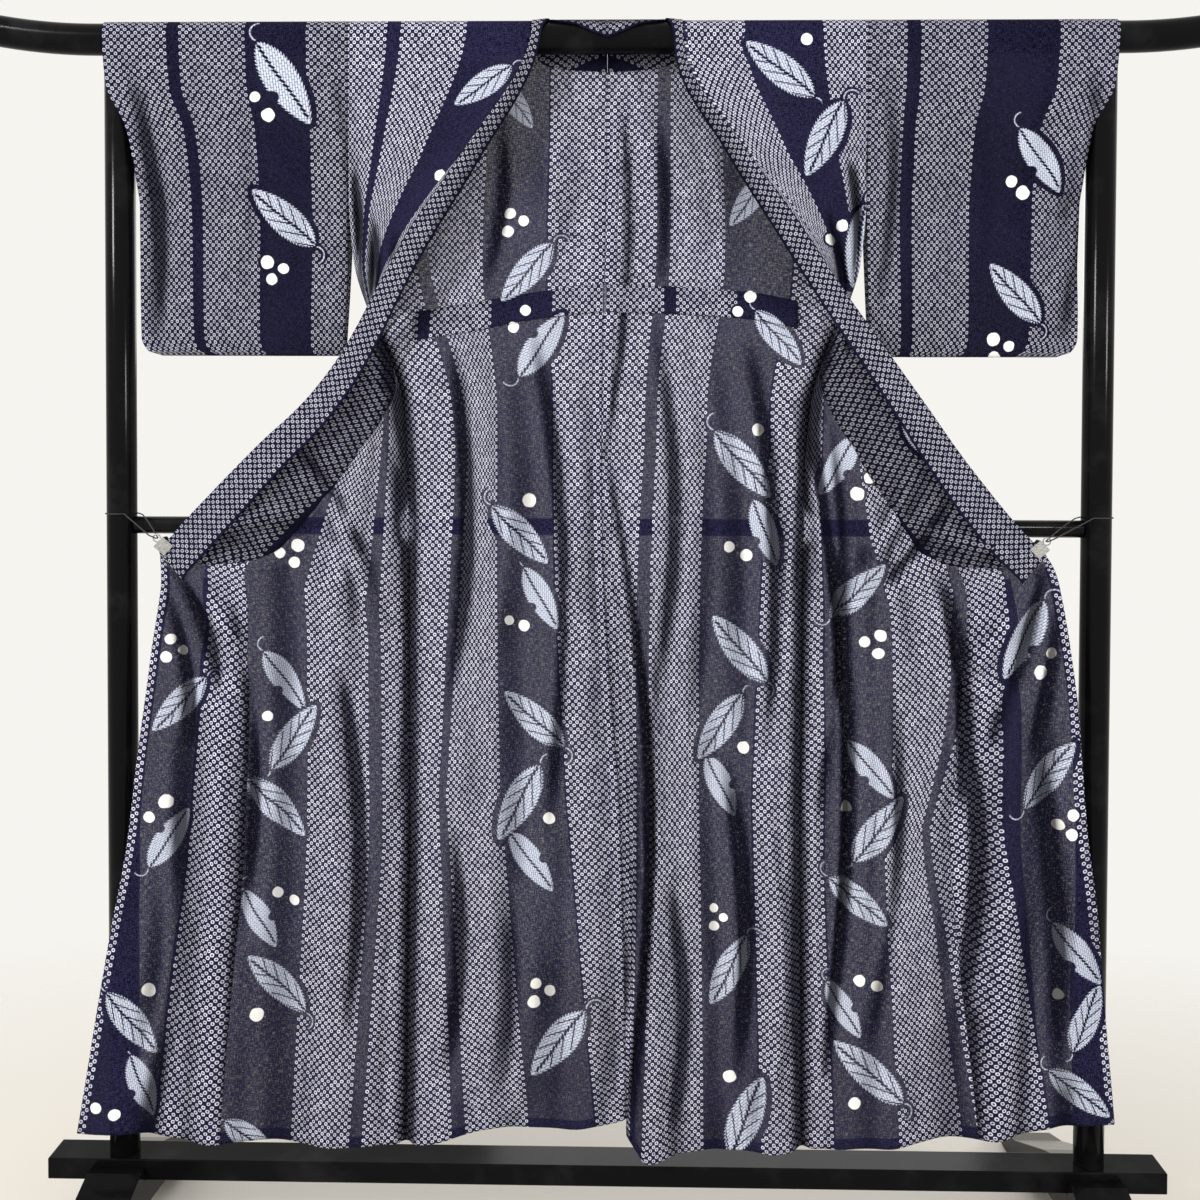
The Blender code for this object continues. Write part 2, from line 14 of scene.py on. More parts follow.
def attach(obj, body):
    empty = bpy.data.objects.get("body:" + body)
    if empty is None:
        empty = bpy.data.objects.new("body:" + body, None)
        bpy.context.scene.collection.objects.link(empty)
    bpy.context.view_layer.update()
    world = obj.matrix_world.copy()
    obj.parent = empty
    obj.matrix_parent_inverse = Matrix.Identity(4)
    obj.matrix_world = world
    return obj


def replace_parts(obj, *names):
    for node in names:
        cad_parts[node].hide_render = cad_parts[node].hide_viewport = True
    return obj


bl_info = {
    "name": "Yukata on a kimono stand",
    "version": (1, 0, 0),
    "blender": (4, 5, 0),
    "location": "View3D > Sidebar > Yukata",
    "description": "Cloth, stand, clips and stage for a tie-dyed cotton yukata hung open",
    "category": "Object",
}

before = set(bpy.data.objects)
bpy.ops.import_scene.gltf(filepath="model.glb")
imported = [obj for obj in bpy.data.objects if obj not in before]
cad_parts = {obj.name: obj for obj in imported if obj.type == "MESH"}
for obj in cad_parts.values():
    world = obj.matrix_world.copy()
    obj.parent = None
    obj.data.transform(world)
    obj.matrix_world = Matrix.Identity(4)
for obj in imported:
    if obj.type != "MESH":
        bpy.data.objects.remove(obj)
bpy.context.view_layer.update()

MM = 0.001
SIGN = {"left": -1.0, "right": 1.0}

# Stand, as in the solids
RAIL_RADIUS = 21.0
RAIL_Z = 1672.5
RAIL_STRAIGHT = 700.0
RAIL_END = 900.0
RAIL_RISE = 25.0
POST_X = 673.0
POST_RADIUS = 20.0
BEAM_TOP = 122.0
BEAM_HEIGHT = 29.0
BEAM_DEPTH = 46.0
MID_BAR_RADIUS = 12.0
MID_BAR_Z = 1002.5
FOOT_WIDTH = 75.0
FOOT_REACH = 250.0
SEAT = 0.3

# Cloth, as in the solids
CLOTH = 1.4
COLLAR_CLOTH = 2.4
LENGTH = 1565.0
WRAP_RADIUS = RAIL_RADIUS + SEAT + CLOTH / 2 + 0.4
WRAP = WRAP_RADIUS * math.pi / 2
COLLAR_RADIUS = RAIL_RADIUS + COLLAR_CLOTH / 2 + 0.8
NECK_BACK = 72.0
OVERLAP_TOP = 215.0
CLIP_AT = 835.0

# Side edge of the body. Columns: way down the cloth, x, y of the front edge, y of the back edge, z
SIDE_EDGE = (
    (35, 352, -22, 22, 1672),
    (147, 352, -22, 22, 1560),
    (245, 352, -18, 18, 1462),
    (340, 345, -19, 6, 1367),
    (420, 322, -21, -10, 1288),
    (470, 300, -23, -23, 1240),
    (540, 280, -23, -23, 1170),
    (700, 271, -24, -24, 1011),
    (900, 270, -26, -26, 811),
    (1100, 269, -28, -28, 611),
    (1300, 271, -30, -30, 411),
    (LENGTH, 274, -32, -32, 148),
)

# Centre back seam from the neck down. Columns: way down the cloth, x, y, z
CENTRE_BACK = (
    (NECK_BACK, 0, 27, 1637),
    (200, -1, 25, 1509),
    (325, -2, 16, 1385),
    (470, -5, 0, 1240),
    (600, -6, -10, 1109),
    (740, -3, -20, 972),
    (900, 6, -24, 812),
    (1080, 21, -27, 630),
    (1250, 27, -29, 462),
    (LENGTH, 32, -31, 186),
)

# Neck opening of the back. Columns: way down the cloth, x, y, z
NECKLINE = (
    (35, 103, 24, 1672),
    (50, 99, 26, 1655),
    (60, 84, 27, 1645),
    (66, 55, 27, 1640),
    (NECK_BACK, 3, 27, 1637),
)

# Outer line of each front. Columns: way down the cloth, x, y, z
FRONT_LINE = {
    "left": (
        (35, 103, -22, 1672),
        (65, 112, -26, 1640),
        (205, 193, -36, 1511),
        (345, 276, -46, 1382),
        (500, 353, -52, 1237),
        (575, 402, -53, 1173),
        (655, 464, -52, 1115),
        (735, 526, -49, 1053),
        (805, 581, -45, 995),
        (CLIP_AT, 602, -44, 967),
        (870, 601, -44, 937),
        (975, 616, -45, 822),
        (1090, 633, -45, 699),
        (1220, 651, -45, 562),
        (1330, 673, -45, 447),
        (LENGTH, 720, -45, 171),
    ),
    "right": (
        (35, 103, -22, 1672),
        (60, 106, -26, 1644),
        (190, 177, -36, 1527),
        (325, 258, -46, 1409),
        (430, 320, -51, 1315),
        (532, 383, -53, 1227),
        (603, 427, -53, 1166),
        (675, 472, -52, 1103),
        (796, 554, -46, 1004),
        (CLIP_AT, 589, -44, 969),
        (870, 603, -44, 945),
        (942, 619, -45, 869),
        (1039, 634, -45, 767),
        (1189, 647, -45, 608),
        (1313, 664, -45, 477),
        (1460, 678, -45, 321),
        (LENGTH, 689, -45, 203),
    ),
}

# Overlap seam as a share of the way from the side edge to the outer line. Columns: way down, share
OVERLAP_SEAM = {
    "left": (
        (OVERLAP_TOP, 1.0),
        (350, 0.87),
        (500, 0.78),
        (655, 0.71),
        (845, 0.66),
        (1090, 0.60),
        (LENGTH, 0.557),
    ),
    "right": (
        (OVERLAP_TOP, 1.0),
        (350, 0.87),
        (500, 0.78),
        (655, 0.71),
        (845, 0.66),
        (1040, 0.58),
        (1200, 0.53),
        (LENGTH, 0.564),
    ),
}

# Folds of the fronts. Columns: share across at its top, at its foot, top, foot, half width, depth
FRONT_FOLDS = {
    "left": (
        (0.06, 0.05, 520, 1650, 0.05, 9),
        (0.34, 0.22, 480, 1650, 0.06, -8),
        (0.55, 0.38, 640, 1650, 0.07, 9),
        (0.74, 0.56, 860, 1700, 0.06, -15),
        (0.86, 0.78, 900, 1650, 0.05, 8),
    ),
    "right": (
        (0.06, 0.05, 520, 1650, 0.05, 10),
        (0.36, 0.28, 480, 1650, 0.06, -9),
        (0.62, 0.45, 700, 1650, 0.07, 10),
        (0.80, 0.60, 860, 1650, 0.06, -16),
        (0.90, 0.84, 900, 1650, 0.05, 8),
    ),
}

# Folds of the back, the same way. Share runs from side to centre
BACK_FOLDS = {
    "left": (
        (0.22, 0.16, 420, 1650, 0.08, -7),
        (0.52, 0.46, 640, 1650, 0.09, 6),
        (0.84, 0.78, 480, 1650, 0.08, -7),
    ),
    "right": (
        (0.24, 0.18, 420, 1650, 0.08, -8),
        (0.55, 0.50, 640, 1650, 0.09, 6),
        (0.90, 0.84, 600, 1750, 0.10, -16),
    ),
}

# Hem of the back, which drops from this way down. Columns: share from side to centre, drop left, drop right
DROP_FROM = 700
HEM_DROP = ((0.0, 0, 0), (0.35, -14, 8), (0.7, -6, 28), (0.9, -2, 44), (1.0, -6, 16))

# Collar strip, as offsets from its seam line: through its middle to its free edge, which rolls over the rail.
# Columns: way down, middle x, y, z, free edge x, y, z. A plus in x is towards the centre line.
COLLAR_SECTION = (
    (-NECK_BACK, 0, -12, 53, 0, -50, 30),
    (-70, 1, -12, 52, 3, -49, 36),
    (-66, 2, -12, 50, 6, -45, 48),
    (-60, 6, -12, 45, 14, -41, 47),
    (-50, 9, -12, 34, 20, -37, 38),
    (-WRAP, 10, -8, 20, 24, -24, 22),
    (0, 11, -2, 2, 22, -8, 1),
    (WRAP, 7, -1, -2, 13, -1, -4),
    (65, 6, 3, -4, 12, 6, -8),
    (205, 9, 4, -7, 18, 10, -13),
    (345, 13, 1, -10, 25, 5, -19),
    (500, 15, -1, -12, 29, -2, -23),
    (655, 17, -1, -16, 33, -3, -31),
    (760, 18, 0, -18, 35, -1, -35),
    (CLIP_AT, 17, 0, -19, 32, 0, -37),
)
COLLAR_LIFT = (
    (-NECK_BACK, 0, -1.5, -1.6),
    (-64, -0.2, -1.5, -1.6),
    (-58, -0.4, -1.2, -1.2),
    (-49, -0.7, -0.8, -0.8),
    (0, -0.7, 0, 0),
    (205, -0.7, -0.6, -0.3),
    (345, -0.4, -2.3, -0.2),
    (420, 0, -2.6, 0),
    (CLIP_AT, 0, -2.6, 0),
)

# Back tuck. Columns: x, z of its lower edge, z of its upper edge
TUCK = (
    (-262, 1258, 1298),
    (-200, 1268, 1308),
    (-100, 1288, 1326),
    (0, 1299, 1338),
    (100, 1296, 1334),
    (190, 1289, 1327),
    (262, 1276, 1314),
)

# Sleeve, up from its bottom seam. Columns: z, distance of each layer from the rail's plane
SLEEVE_FOOT = 1238.0
SLEEVE_LAYER = (
    (SLEEVE_FOOT, 2.2),
    (1252, 6),
    (1290, 10),
    (1380, 14),
    (1462, 18),
    (1490, 21.6),
    (1560, 22.2),
    (1672, 22.2),
)

# Outer end of a sleeve. Columns: z, x, share of the layer distance kept
SLEEVE_END = (
    (SLEEVE_FOOT, 616, 1.0),
    (1244, 634, 0.5),
    (1262, 643, 0.16),
    (1340, 644, 0.12),
    (1440, 644, 0.14),
    (1475, 645, 0.7),
    (1542, 655, 1.0),
    (1601, 682, 1.0),
    (1660, 688, 1.0),
    (1700, 689, 1.0),
)
SLEEVE_INNER = ((SLEEVE_FOOT, 360), (1462, 352.6), (1700, 352.6))

# How much lower the leaves lie on the backs of the sleeves
BEHIND_DROP = 90.0

# Share of the light that one surface of a single layer stops
SHEER = 0.775

# Seeds of the noise in each body length's cloth, and the columns of points across an overlap
BODY_SEEDS = {"left": 2.3, "right": 5.6}
OVERLAP_COLUMNS = 37

# The loom width in metres, from its selvedge: dots, leaves, dots, a plain stripe, dots
BAND_EDGES = (0.083, 0.171, 0.261, 0.279)
LOOM = 0.365

# Where the bands' edges lie across each panel, as shares of the panel's width.
# Columns: way down, loom width at share 0, shares of the band edges in their order, loom width at share 1
FRONT_BANDS = {
    "left": (
        (0, 0.334, 0.215, 0.29, 0.65, 0.999, 0.083),
        (450, 0.334, 0.215, 0.29, 0.65, 0.999, 0.083),
        (897, 0.318, 0.17, 0.25, 0.63, 0.999, 0.083),
        (1152, 0.315, 0.16, 0.24, 0.62, 0.999, 0.083),
        (LENGTH, 0.338, 0.235, 0.30, 0.63, 0.999, 0.083),
    ),
    "right": (
        (0, 0.010, 0.25, 0.667, 0.996, 0.999, 0.256),
        (200, 0.010, 0.25, 0.667, 0.996, 0.999, 0.258),
        (750, 0.045, 0.146, 0.50, 0.95, 0.999, 0.279),
        (897, 0.052, 0.134, 0.535, 0.919, 0.999, 0.279),
        (1030, 0.050, 0.163, 0.57, 0.91, 0.999, 0.279),
        (1152, 0.048, 0.16, 0.55, 0.797, 0.85, 0.310),
        (1300, 0.045, 0.17, 0.55, 0.86, 0.93, 0.292),
        (LENGTH, 0.037, 0.19, 0.545, 0.92, 0.999, 0.279),
    ),
}
BACK_BANDS = {
    "left": (
        (72, 0.345, 0.225, 0.275, 0.525, 0.77, 0.002),
        (180, 0.345, 0.225, 0.275, 0.525, 0.77, 0.002),
        (600, 0.348, 0.26, 0.32, 0.47, 0.745, 0.012),
        (1080, 0.322, 0.15, 0.183, 0.432, 0.742, 0.008),
        (LENGTH, 0.345, 0.22, 0.28, 0.563, 0.856, 0.039),
    ),
    "right": (
        (72, 0.002, 0.30, 0.545, 0.746, 0.80, 0.350),
        (180, 0.002, 0.30, 0.545, 0.746, 0.80, 0.350),
        (600, 0.030, 0.187, 0.49, 0.73, 0.79, 0.342),
        (1080, 0.012, 0.283, 0.565, 0.832, 0.908, 0.302),
        (LENGTH, 0.023, 0.25, 0.5625, 0.915, 0.98, 0.284),
    ),
}
OVERLAP_BANDS = {
    "left": (
        (OVERLAP_TOP, 0.060, 0.99, 0.999, 0.080),
        (500, 0.050, 0.70, 0.99, 0.120),
        (835, 0.035, 0.47, 0.93, 0.181),
        (1152, 0.012, 0.49, 0.93, 0.181),
        (LENGTH, 0.0, 0.497, 0.945, 0.181),
    ),
    "right": (
        (OVERLAP_TOP, 0.060, 0.99, 0.999, 0.080),
        (500, 0.050, 0.60, 0.99, 0.130),
        (835, 0.027, 0.47, 0.93, 0.181),
        (1030, 0.033, 0.36, 0.93, 0.181),
        (1152, 0.030, 0.37, 0.92, 0.181),
        (LENGTH, 0.0, 0.55, 0.95, 0.181),
    ),
}
SLEEVE_BANDS = {
    "left": ((0, 0.025, 0.175, 0.417, 0.6875, 0.7375, 0.365),),
    "right": ((0, 0.331, 0.154, 0.21, 0.474, 0.757, 0.0),),
}

# Leaves of each panel, read in the photograph's 1200 pixels.
# Columns: stem end across and down, tip across and down, side of a bite or 0 for a whole leaf
LEAVES = {
    "sleeve_left": (
        (257, 42, 311, 125, -1),
        (314, 245, 250, 188, 0),
    ),
    "sleeve_right": (
        (1020, 128, 1062, 192, -1),
        (1044, 322, 992, 262, 0),
    ),
    "front_left": (
        (511, 62, 453, 103, 0),
        (262, 652, 304, 712, -1),
        (268, 772, 316, 705, 0),
        (245, 780, 304, 838, 0),
        (243, 892, 273, 952, 1),
        (304, 1015, 246, 957, 0),
        (226, 1118, 272, 1164, 0),
    ),
    "front_right": (
        (816, 94, 747, 36, 0),
        (846, 97, 806, 176, 0),
        (870, 200, 856, 286, 1),
        (858, 434, 823, 496, 1),
        (833, 620, 886, 564, 0),
        (852, 744, 895, 800, -1),
        (855, 865, 905, 798, 0),
        (831, 881, 889, 928, 0),
        (829, 987, 862, 1042, 1),
        (903, 1103, 835, 1045, 0),
    ),
    "overlap_left": (
        (205, 678, 152, 731, 0),
        (148, 868, 188, 809, 1),
        (107, 992, 155, 1056, 0),
        (130, 1056, 150, 1121, -1),
    ),
    "overlap_right": (
        (902, 419, 950, 467, 0),
        (937, 462, 985, 495, 0),
        (1046, 601, 1004, 680, 1),
        (1023, 808, 1076, 742, 0),
        (1055, 925, 1101, 985, -1),
        (1073, 1053, 1100, 984, 0),
        (1050, 1072, 1110, 1117, 0),
    ),
    "back_left": (
        (497, 72, 531, 122, 0),
        (552, 240, 500, 301, 0),
        (519, 377, 564, 311, 1),
        (493, 505, 549, 563, 0),
        (525, 566, 558, 628, -1),
        (565, 743, 505, 689, 0),
        (541, 761, 499, 837, 0),
        (511, 828, 554, 886, 1),
        (586, 1000, 532, 1068, 0),
    ),
    "back_right": (
        (772, 168, 731, 223, 0),
        (756, 310, 800, 366, 0),
        (714, 431, 770, 498, 0),
        (752, 499, 776, 566, -1),
        (765, 679, 711, 613, 0),
        (741, 691, 697, 757, 0),
        (706, 752, 734, 814, 1),
        (746, 931, 709, 999, 0),
        (728, 1145, 761, 1065, 0),
    ),
}

# White spots, read in the same way. Columns: across, down, radius
SPOTS = {
    "sleeve_left": (
        (255, 97, 5.5),
        (268, 115, 7),
        (265, 261, 7),
        (281, 267, 5.7),
        (269, 278, 6),
    ),
    "sleeve_right": (
        (1012, 181, 6),
        (1024, 192, 7),
        (997, 338, 6.8),
        (1013, 345, 5.6),
        (999, 356, 6.2),
    ),
    "front_left": (
        (440, 175, 6.2),
        (278, 553, 5.8),
        (296, 546, 7),
        (292, 563, 6),
        (265, 718, 5.6),
        (275, 896, 5.8),
        (292, 903, 5.6),
        (255, 1017, 7.2),
    ),
    "front_right": (
        (809, 34, 6.2),
        (844, 224, 6),
        (831, 239, 6),
        (870, 478, 5.8),
        (858, 494, 7),
        (881, 636, 6.2),
        (866, 643, 5.8),
        (879, 654, 5.8),
        (849, 812, 6),
        (861, 984, 6.2),
        (878, 989, 6),
        (856, 1107, 6.4),
    ),
    "overlap_left": (
        (170, 639, 5.4),
        (181, 651, 5),
        (166, 657, 6),
        (165, 802, 7.4),
        (149, 817, 6),
        (147, 992, 7.4),
        (96, 1108, 6),
        (114, 1115, 6.4),
    ),
    "overlap_right": (
        (985, 512, 6),
        (1053, 654, 5.8),
        (1042, 673, 7.4),
        (1073, 815, 6.2),
        (1059, 825, 5.8),
        (1071, 834, 6.2),
        (1060, 997, 6),
    ),
    "back_left": (
        (508, 209, 6),
        (522, 217, 5.8),
        (506, 228, 6.4),
        (525, 310, 5.6),
        (513, 327, 5.8),
        (530, 500, 7.2),
        (510, 619, 5),
        (525, 624, 6),
        (550, 814, 6.2),
        (537, 976, 5.8),
        (551, 983, 5.8),
        (535, 994, 6.6),
        (567, 1124, 6),
    ),
    "back_right": (
        (751, 296, 6.4),
        (738, 311, 5.6),
        (757, 430, 6.4),
        (728, 546, 5.8),
        (745, 554, 6.2),
        (742, 744, 6.2),
        (713, 903, 4.6),
        (722, 912, 4.6),
        (713, 921, 5.2),
        (728, 1068, 6.6),
    ),
}

# Motif frames: the furthest value kept, and how far apart the frames of whole and bitten leaves lie
FAR = 1.9
APART = 4.0

# Depth of the plane on which each kind of panel carries its motifs, in mm
MOTIF_DEPTH = {"sleeve": -22.0, "front": -42.0, "overlap": -45.0, "back": -8.0}

# Place across the loom of the collar's free edge and of the doubled cloth's outer edge, in metres
COLLAR_EDGE_PLACE = 0.168
FACING_EDGE_PLACE = 0.262
COLLAR_WALL = 0.0022

# Inner edge of the doubled cloth beside the collar. Columns: way down, share across on the left, on the right
FACING = (
    (440, 0.0, 0.0),
    (500, 0.03, 0.05),
    (617, 0.36, 0.36),
    (700, 0.48, 0.48),
    (790, 0.58, 0.56),
    (815, 0.66, 0.64),
    (CLIP_AT, 0.82, 0.80),
)

# Width of the flap turned in along each front edge. Columns: way down, width
EDGE_FLAP = ((CLIP_AT, 11), (1150, 12), (1290, 30), (1420, 46), (LENGTH, 50))

# Creases pressed into the fronts, seen from the front as lines. A trough has a plus depth.
# Columns: x and z of one end, x and z of the other, half width, depth
FRONT_CREASES = (
    (-352, 1500, -345, 1330, 7, 14),
    (-318, 1420, -330, 1250, 8, 15),
    (-285, 1400, -300, 1180, 7, 14),
    (-262, 1350, -268, 1150, 7, -7),
    (-236, 1390, -243, 1260, 6, 7),
    (-560, 990, -430, 940, 13, 7),
    (-575, 985, -390, 1020, 12, -7),
    (-590, 960, -520, 760, 12, 9),
    (-585, 955, -480, 800, 14, -8),
    (-600, 940, -566, 700, 9, 6),
    (-430, 1130, -330, 960, 10, 8),
    (-390, 1080, -318, 860, 10, -7),
    (-505, 900, -500, 420, 9, 7),
    (-372, 860, -352, 300, 11, 7),
    (-600, 640, -640, 200, 11, -6),
    (-300, 1150, -285, 600, 8, 8),
    (-226, 1180, -222, 200, 6, 9),
    (262, 1210, 300, 240, 7, 15),
    (457, 930, 484, 620, 8, 12),
    (330, 1500, 338, 1320, 7, 14),
    (300, 1430, 322, 1230, 8, 14),
    (268, 1370, 290, 1150, 7, -7),
    (560, 990, 430, 920, 13, 8),
    (575, 975, 400, 1010, 12, -7),
    (588, 960, 505, 700, 12, 10),
    (580, 940, 455, 780, 14, -8),
    (600, 930, 575, 700, 9, 6),
    (470, 1060, 350, 900, 10, 8),
    (420, 1110, 318, 900, 10, -7),
    (486, 760, 480, 330, 9, 9),
    (380, 860, 360, 300, 11, 7),
    (600, 700, 622, 240, 11, -6),
    (300, 1150, 288, 600, 8, 8),
)
BACK_CREASES = (
    (-1, 1760, -5, 1080, 4.5, 7),
    (-4, 1120, 31, 170, 6, 15),
    (-6, 1120, 16, 170, 9, -8),
    (-150, 1600, -168, 1330, 7, 5),
    (-84, 1618, -92, 1380, 9, -5),
    (60, 1610, 74, 1340, 8, 5),
    (130, 1600, 150, 1330, 9, -5),
    (-210, 1260, -226, 700, 10, 8),
    (-152, 1280, -160, 820, 9, -6),
    (-100, 1280, -84, 560, 8, 6),
    (-60, 1240, -48, 860, 10, -5),
    (66, 1290, 70, 760, 10, 6),
    (120, 1280, 128, 700, 9, -6),
    (190, 1270, 212, 640, 10, 9),
    (238, 1240, 244, 900, 9, -7),
    (-215, 640, -226, 200, 10, 8),
    (160, 700, 176, 220, 11, 8),
    (216, 620, 226, 190, 10, -7),
    (-120, 520, -132, 190, 11, -7),
    (90, 520, 100, 180, 11, 6),
)
SLEEVE_CREASES = (
    (-655, 1640, -622, 1260, 12, 10),
    (-610, 1620, -585, 1400, 14, -5),
    (-500, 1600, -505, 1300, 11, 2.4),
    (-420, 1560, -410, 1290, 13, -2.6),
    (-374, 1640, -366, 1280, 9, 6),
    (655, 1640, 622, 1260, 12, 10),
    (612, 1620, 590, 1400, 14, -5),
    (498, 1590, 505, 1300, 11, 2.4),
    (430, 1560, 424, 1290, 13, -2.6),
    (374, 1640, 366, 1280, 9, 6),
)

# How far the creases keep off the side seam, the trough along it, and the gap before the middle bar
SEAM_HOLD = 9.0
TROUGH_DEPTH = 21.0
TROUGH_HALF = 12.0
BAR_CLEARANCE = 2.0

# Camera, from the photograph's vanishing lines and the stand's known sizes
CAMERA_AT = (0.0200, -1.6, 1.10)
CAMERA_TURN = math.radians(1.0)
CAMERA_DIP = math.radians(1.2)
CAMERA_ROLL = math.radians(0.2)
CAMERA_LENS = 34.77
PIXELS_ACROSS = 600.0
PIXELS_DOWN = 480.6
PIXELS_LENS = 1159.0
CAMERA_SHIFT = -0.0995


def length_setting(name, description, default, least):
    settings = {"name": name, "description": description, "default": default}
    return bpy.props.FloatProperty(**settings, min=least, unit="LENGTH")


def colour_setting(name, description, default):
    settings = {"name": name, "description": description, "default": default}
    return bpy.props.FloatVectorProperty(**settings, subtype="COLOR", size=3, min=0, max=1)


class YukataSizes(bpy.types.PropertyGroup):
    """Sizes of the cloth's visual mesh."""

    cloth_step: length_setting("Cloth step", "Distance between points of the cloth grids", 0.0055, 0.002)
    cloth_thickness: length_setting("Cloth thickness", "Thickness of one layer of the cotton", 0.0007, 0.0002)
    hem_width: length_setting("Hem width", "Width of the turned-up hem", 0.014, 0.002)


class YukataColours(bpy.types.PropertyGroup):
    """Colours of the cloth and the stand."""

    navy: colour_setting("Navy", "Dyed ground of the cloth", (0.0135, 0.0125, 0.036))
    dots: colour_setting("Dots", "Undyed rings of the tied dots", (0.78, 0.78, 0.89))
    leaves: colour_setting("Leaves", "Pale blue of the stitched leaves", (0.56, 0.60, 0.72))
    spots: colour_setting("Spots", "White of the round spots", (0.90, 0.89, 0.85))
    lacquer: colour_setting("Lacquer", "Black lacquer of the stand", (0.0035, 0.0035, 0.004))


def through(table, at):
    """Smooth curve through a table's rows by cubic Hermite pieces that never overshoot a row."""
    rows = np.array(table, float)
    knots, values = rows[:, 0], rows[:, 1:]
    secants = np.diff(values, axis=0) / np.diff(knots)[:, None]
    before, after = secants[:-1], secants[1:]
    level = before * after <= 0
    inner = np.where(level, 0, 2 * before * after / np.where(level, 1, before + after))
    slopes = np.concatenate([secants[:1], inner, secants[-1:]])
    at = np.clip(np.asarray(at, float), knots[0], knots[-1])
    i = np.clip(np.searchsorted(knots, at, side="right") - 1, 0, len(knots) - 2)
    step = (knots[i + 1] - knots[i])[..., None]
    t = ((at - knots[i]) / (knots[i + 1] - knots[i]))[..., None]
    start, end = values[i], values[i + 1]
    start_slope, end_slope = slopes[i] * step, slopes[i + 1] * step
    return (
        start * (2 * t**3 - 3 * t**2 + 1)
        + start_slope * (t**3 - 2 * t**2 + t)
        + end * (3 * t**2 - 2 * t**3)
        + end_slope * (t**3 - t**2)
    )


def over_rail(down, x):
    """Circle round the rail: a quarter turn for each side of the shoulder, minus for the back."""
    turn = down / WRAP_RADIUS
    return np.stack([x, -WRAP_RADIUS * np.sin(turn), RAIL_Z + WRAP_RADIUS * np.cos(turn)], axis=-1)


def edge_line(table, down):
    """A hanging edge: round the rail to the first row of its table, then through the table."""
    hanging = through(table, np.maximum(np.abs(down), table[0][0]))
    wrapped = over_rail(down, np.full_like(down, table[0][1], dtype=float))
    return np.where((np.abs(down) <= WRAP)[:, None], wrapped, hanging)


def side_edge(down, back):
    """Side edge of the body, in front or behind: the table of both with the y of that layer."""
    rows = [(d, x, y_back if back else y_front, z) for d, x, y_front, y_back, z in SIDE_EDGE]
    return edge_line(rows, down)


def ridges(table, share, down):
    """Sum of bell-shaped folds across the cloth, each grown in from its top, and none at the side seam."""
    depth = np.zeros(np.broadcast(share, down).shape)
    for at_top, at_foot, top, foot, half, height in table:
        along = np.clip((down - top) / (foot - top), 0, 1)
        centre = at_top + (at_foot - at_top) * along
        grown = np.clip(along * 3, 0, 1)
        depth += height * grown**2 * (3 - 2 * grown) * np.exp(-(((share - centre) / half) ** 2))
    return depth * (1 - np.exp(-((share / 0.035) ** 2)))


def by_side(table, side, at):
    """Straight runs through a table's rows, read in the column of one side. Columns: place, left, right."""
    rows = np.array(table, float)
    return np.interp(at, rows[:, 0], rows[:, 1 if side == "left" else 2])


def mirrored(points, side):
    """Points of the right half, with x turned to minus for the left."""
    return points * np.array([SIGN[side], 1.0, 1.0])


def front_line(side, down):
    """Outer line of a front with its overlap."""
    return edge_line(FRONT_LINE[side], down)


def front_width(side, down):
    """Width of a front with its overlap, one row for each way down."""
    return (front_line(side, down) - side_edge(down, back=False))[:, :1]


def pressed(points, creases, most=1.0):
    """Moves points in y by creases: a bell across each line, faded out towards both of its ends."""
    x, z = points[..., 0], points[..., 2]
    for x0, z0, x1, z1, half, depth in creases:
        run = np.array((x1 - x0, z1 - z0), float)
        length = np.hypot(*run)
        along = ((x - x0) * run[0] + (z - z0) * run[1]) / length**2
        bend = 0.05 * length * np.sin(np.pi * along)
        across = ((x - x0) * run[1] - (z - z0) * run[0]) / length + bend
        fade = np.clip(np.sin(np.pi * np.clip(along, 0, 1)), 0, 1) ** 0.7
        points[..., 1] += most * depth * fade * np.exp(-((across / half) ** 2))
    return points


def rumpled(points, seed, height):
    """Adds a little low waviness in y: a few crossed sine waves of unlike lengths."""
    x, z = points[..., 0], points[..., 2]
    wave = (
        np.sin(x / 31 + z / 190 + seed)
        + 0.7 * np.sin(x / 17 - z / 140 + 2.1 * seed)
        + 0.5 * np.sin(z / 46 + x / 60 + 0.7 * seed)
        + 0.35 * np.sin(z / 23 - x / 15 + 1.3 * seed)
    )
    points[..., 1] += height * wave
    return points


def creased(points, down, creases, most, seed):
    """Points pressed and rumpled, but held at the side seam and before the middle bar.

    One deep trough, a bell along the side seam, is common to front and back.
    """
    moved = rumpled(pressed(points.copy(), creases, most), seed, 0.9)
    hung = np.clip((down - 90) / 120, 0, 1)[:, None]
    from_seam = np.abs(np.abs(points[..., 0]) - side_edge(down, back=False)[:, :1])
    free = 1 - np.exp(-((from_seam / SEAM_HOLD) ** 2))
    points[..., 1] += (moved[..., 1] - points[..., 1]) * hung * free
    grown = np.clip((down - 330) / 200, 0, 1)[:, None]
    points[..., 1] += TROUGH_DEPTH * grown * np.exp(-((from_seam / TROUGH_HALF) ** 2))
    front_of_bar = MID_BAR_RADIUS + BAR_CLEARANCE
    past_bar = np.maximum(np.abs(points[..., 2] - MID_BAR_Z) - front_of_bar, 0)
    points[..., 1] = np.minimum(points[..., 1], 0.6 * past_bar - front_of_bar)
    return points


def front_points(side, down, share):
    """Points across a front, with share 0 at its side edge and 1 at its outer line, creased."""
    start, end = side_edge(down, back=False)[:, None], front_line(side, down)[:, None]
    points = start + (end - start) * share[..., None]
    points[..., 1] += ridges(FRONT_FOLDS[side], share, down[:, None])
    bow = np.interp(down, (WRAP, 120, 260, 420, 600), (0, -5, -7, -2, 0))
    points[..., 1] += bow[:, None] * np.sin(np.pi * share)
    return creased(mirrored(points, side), down, FRONT_CREASES, 1.35, 1.0)


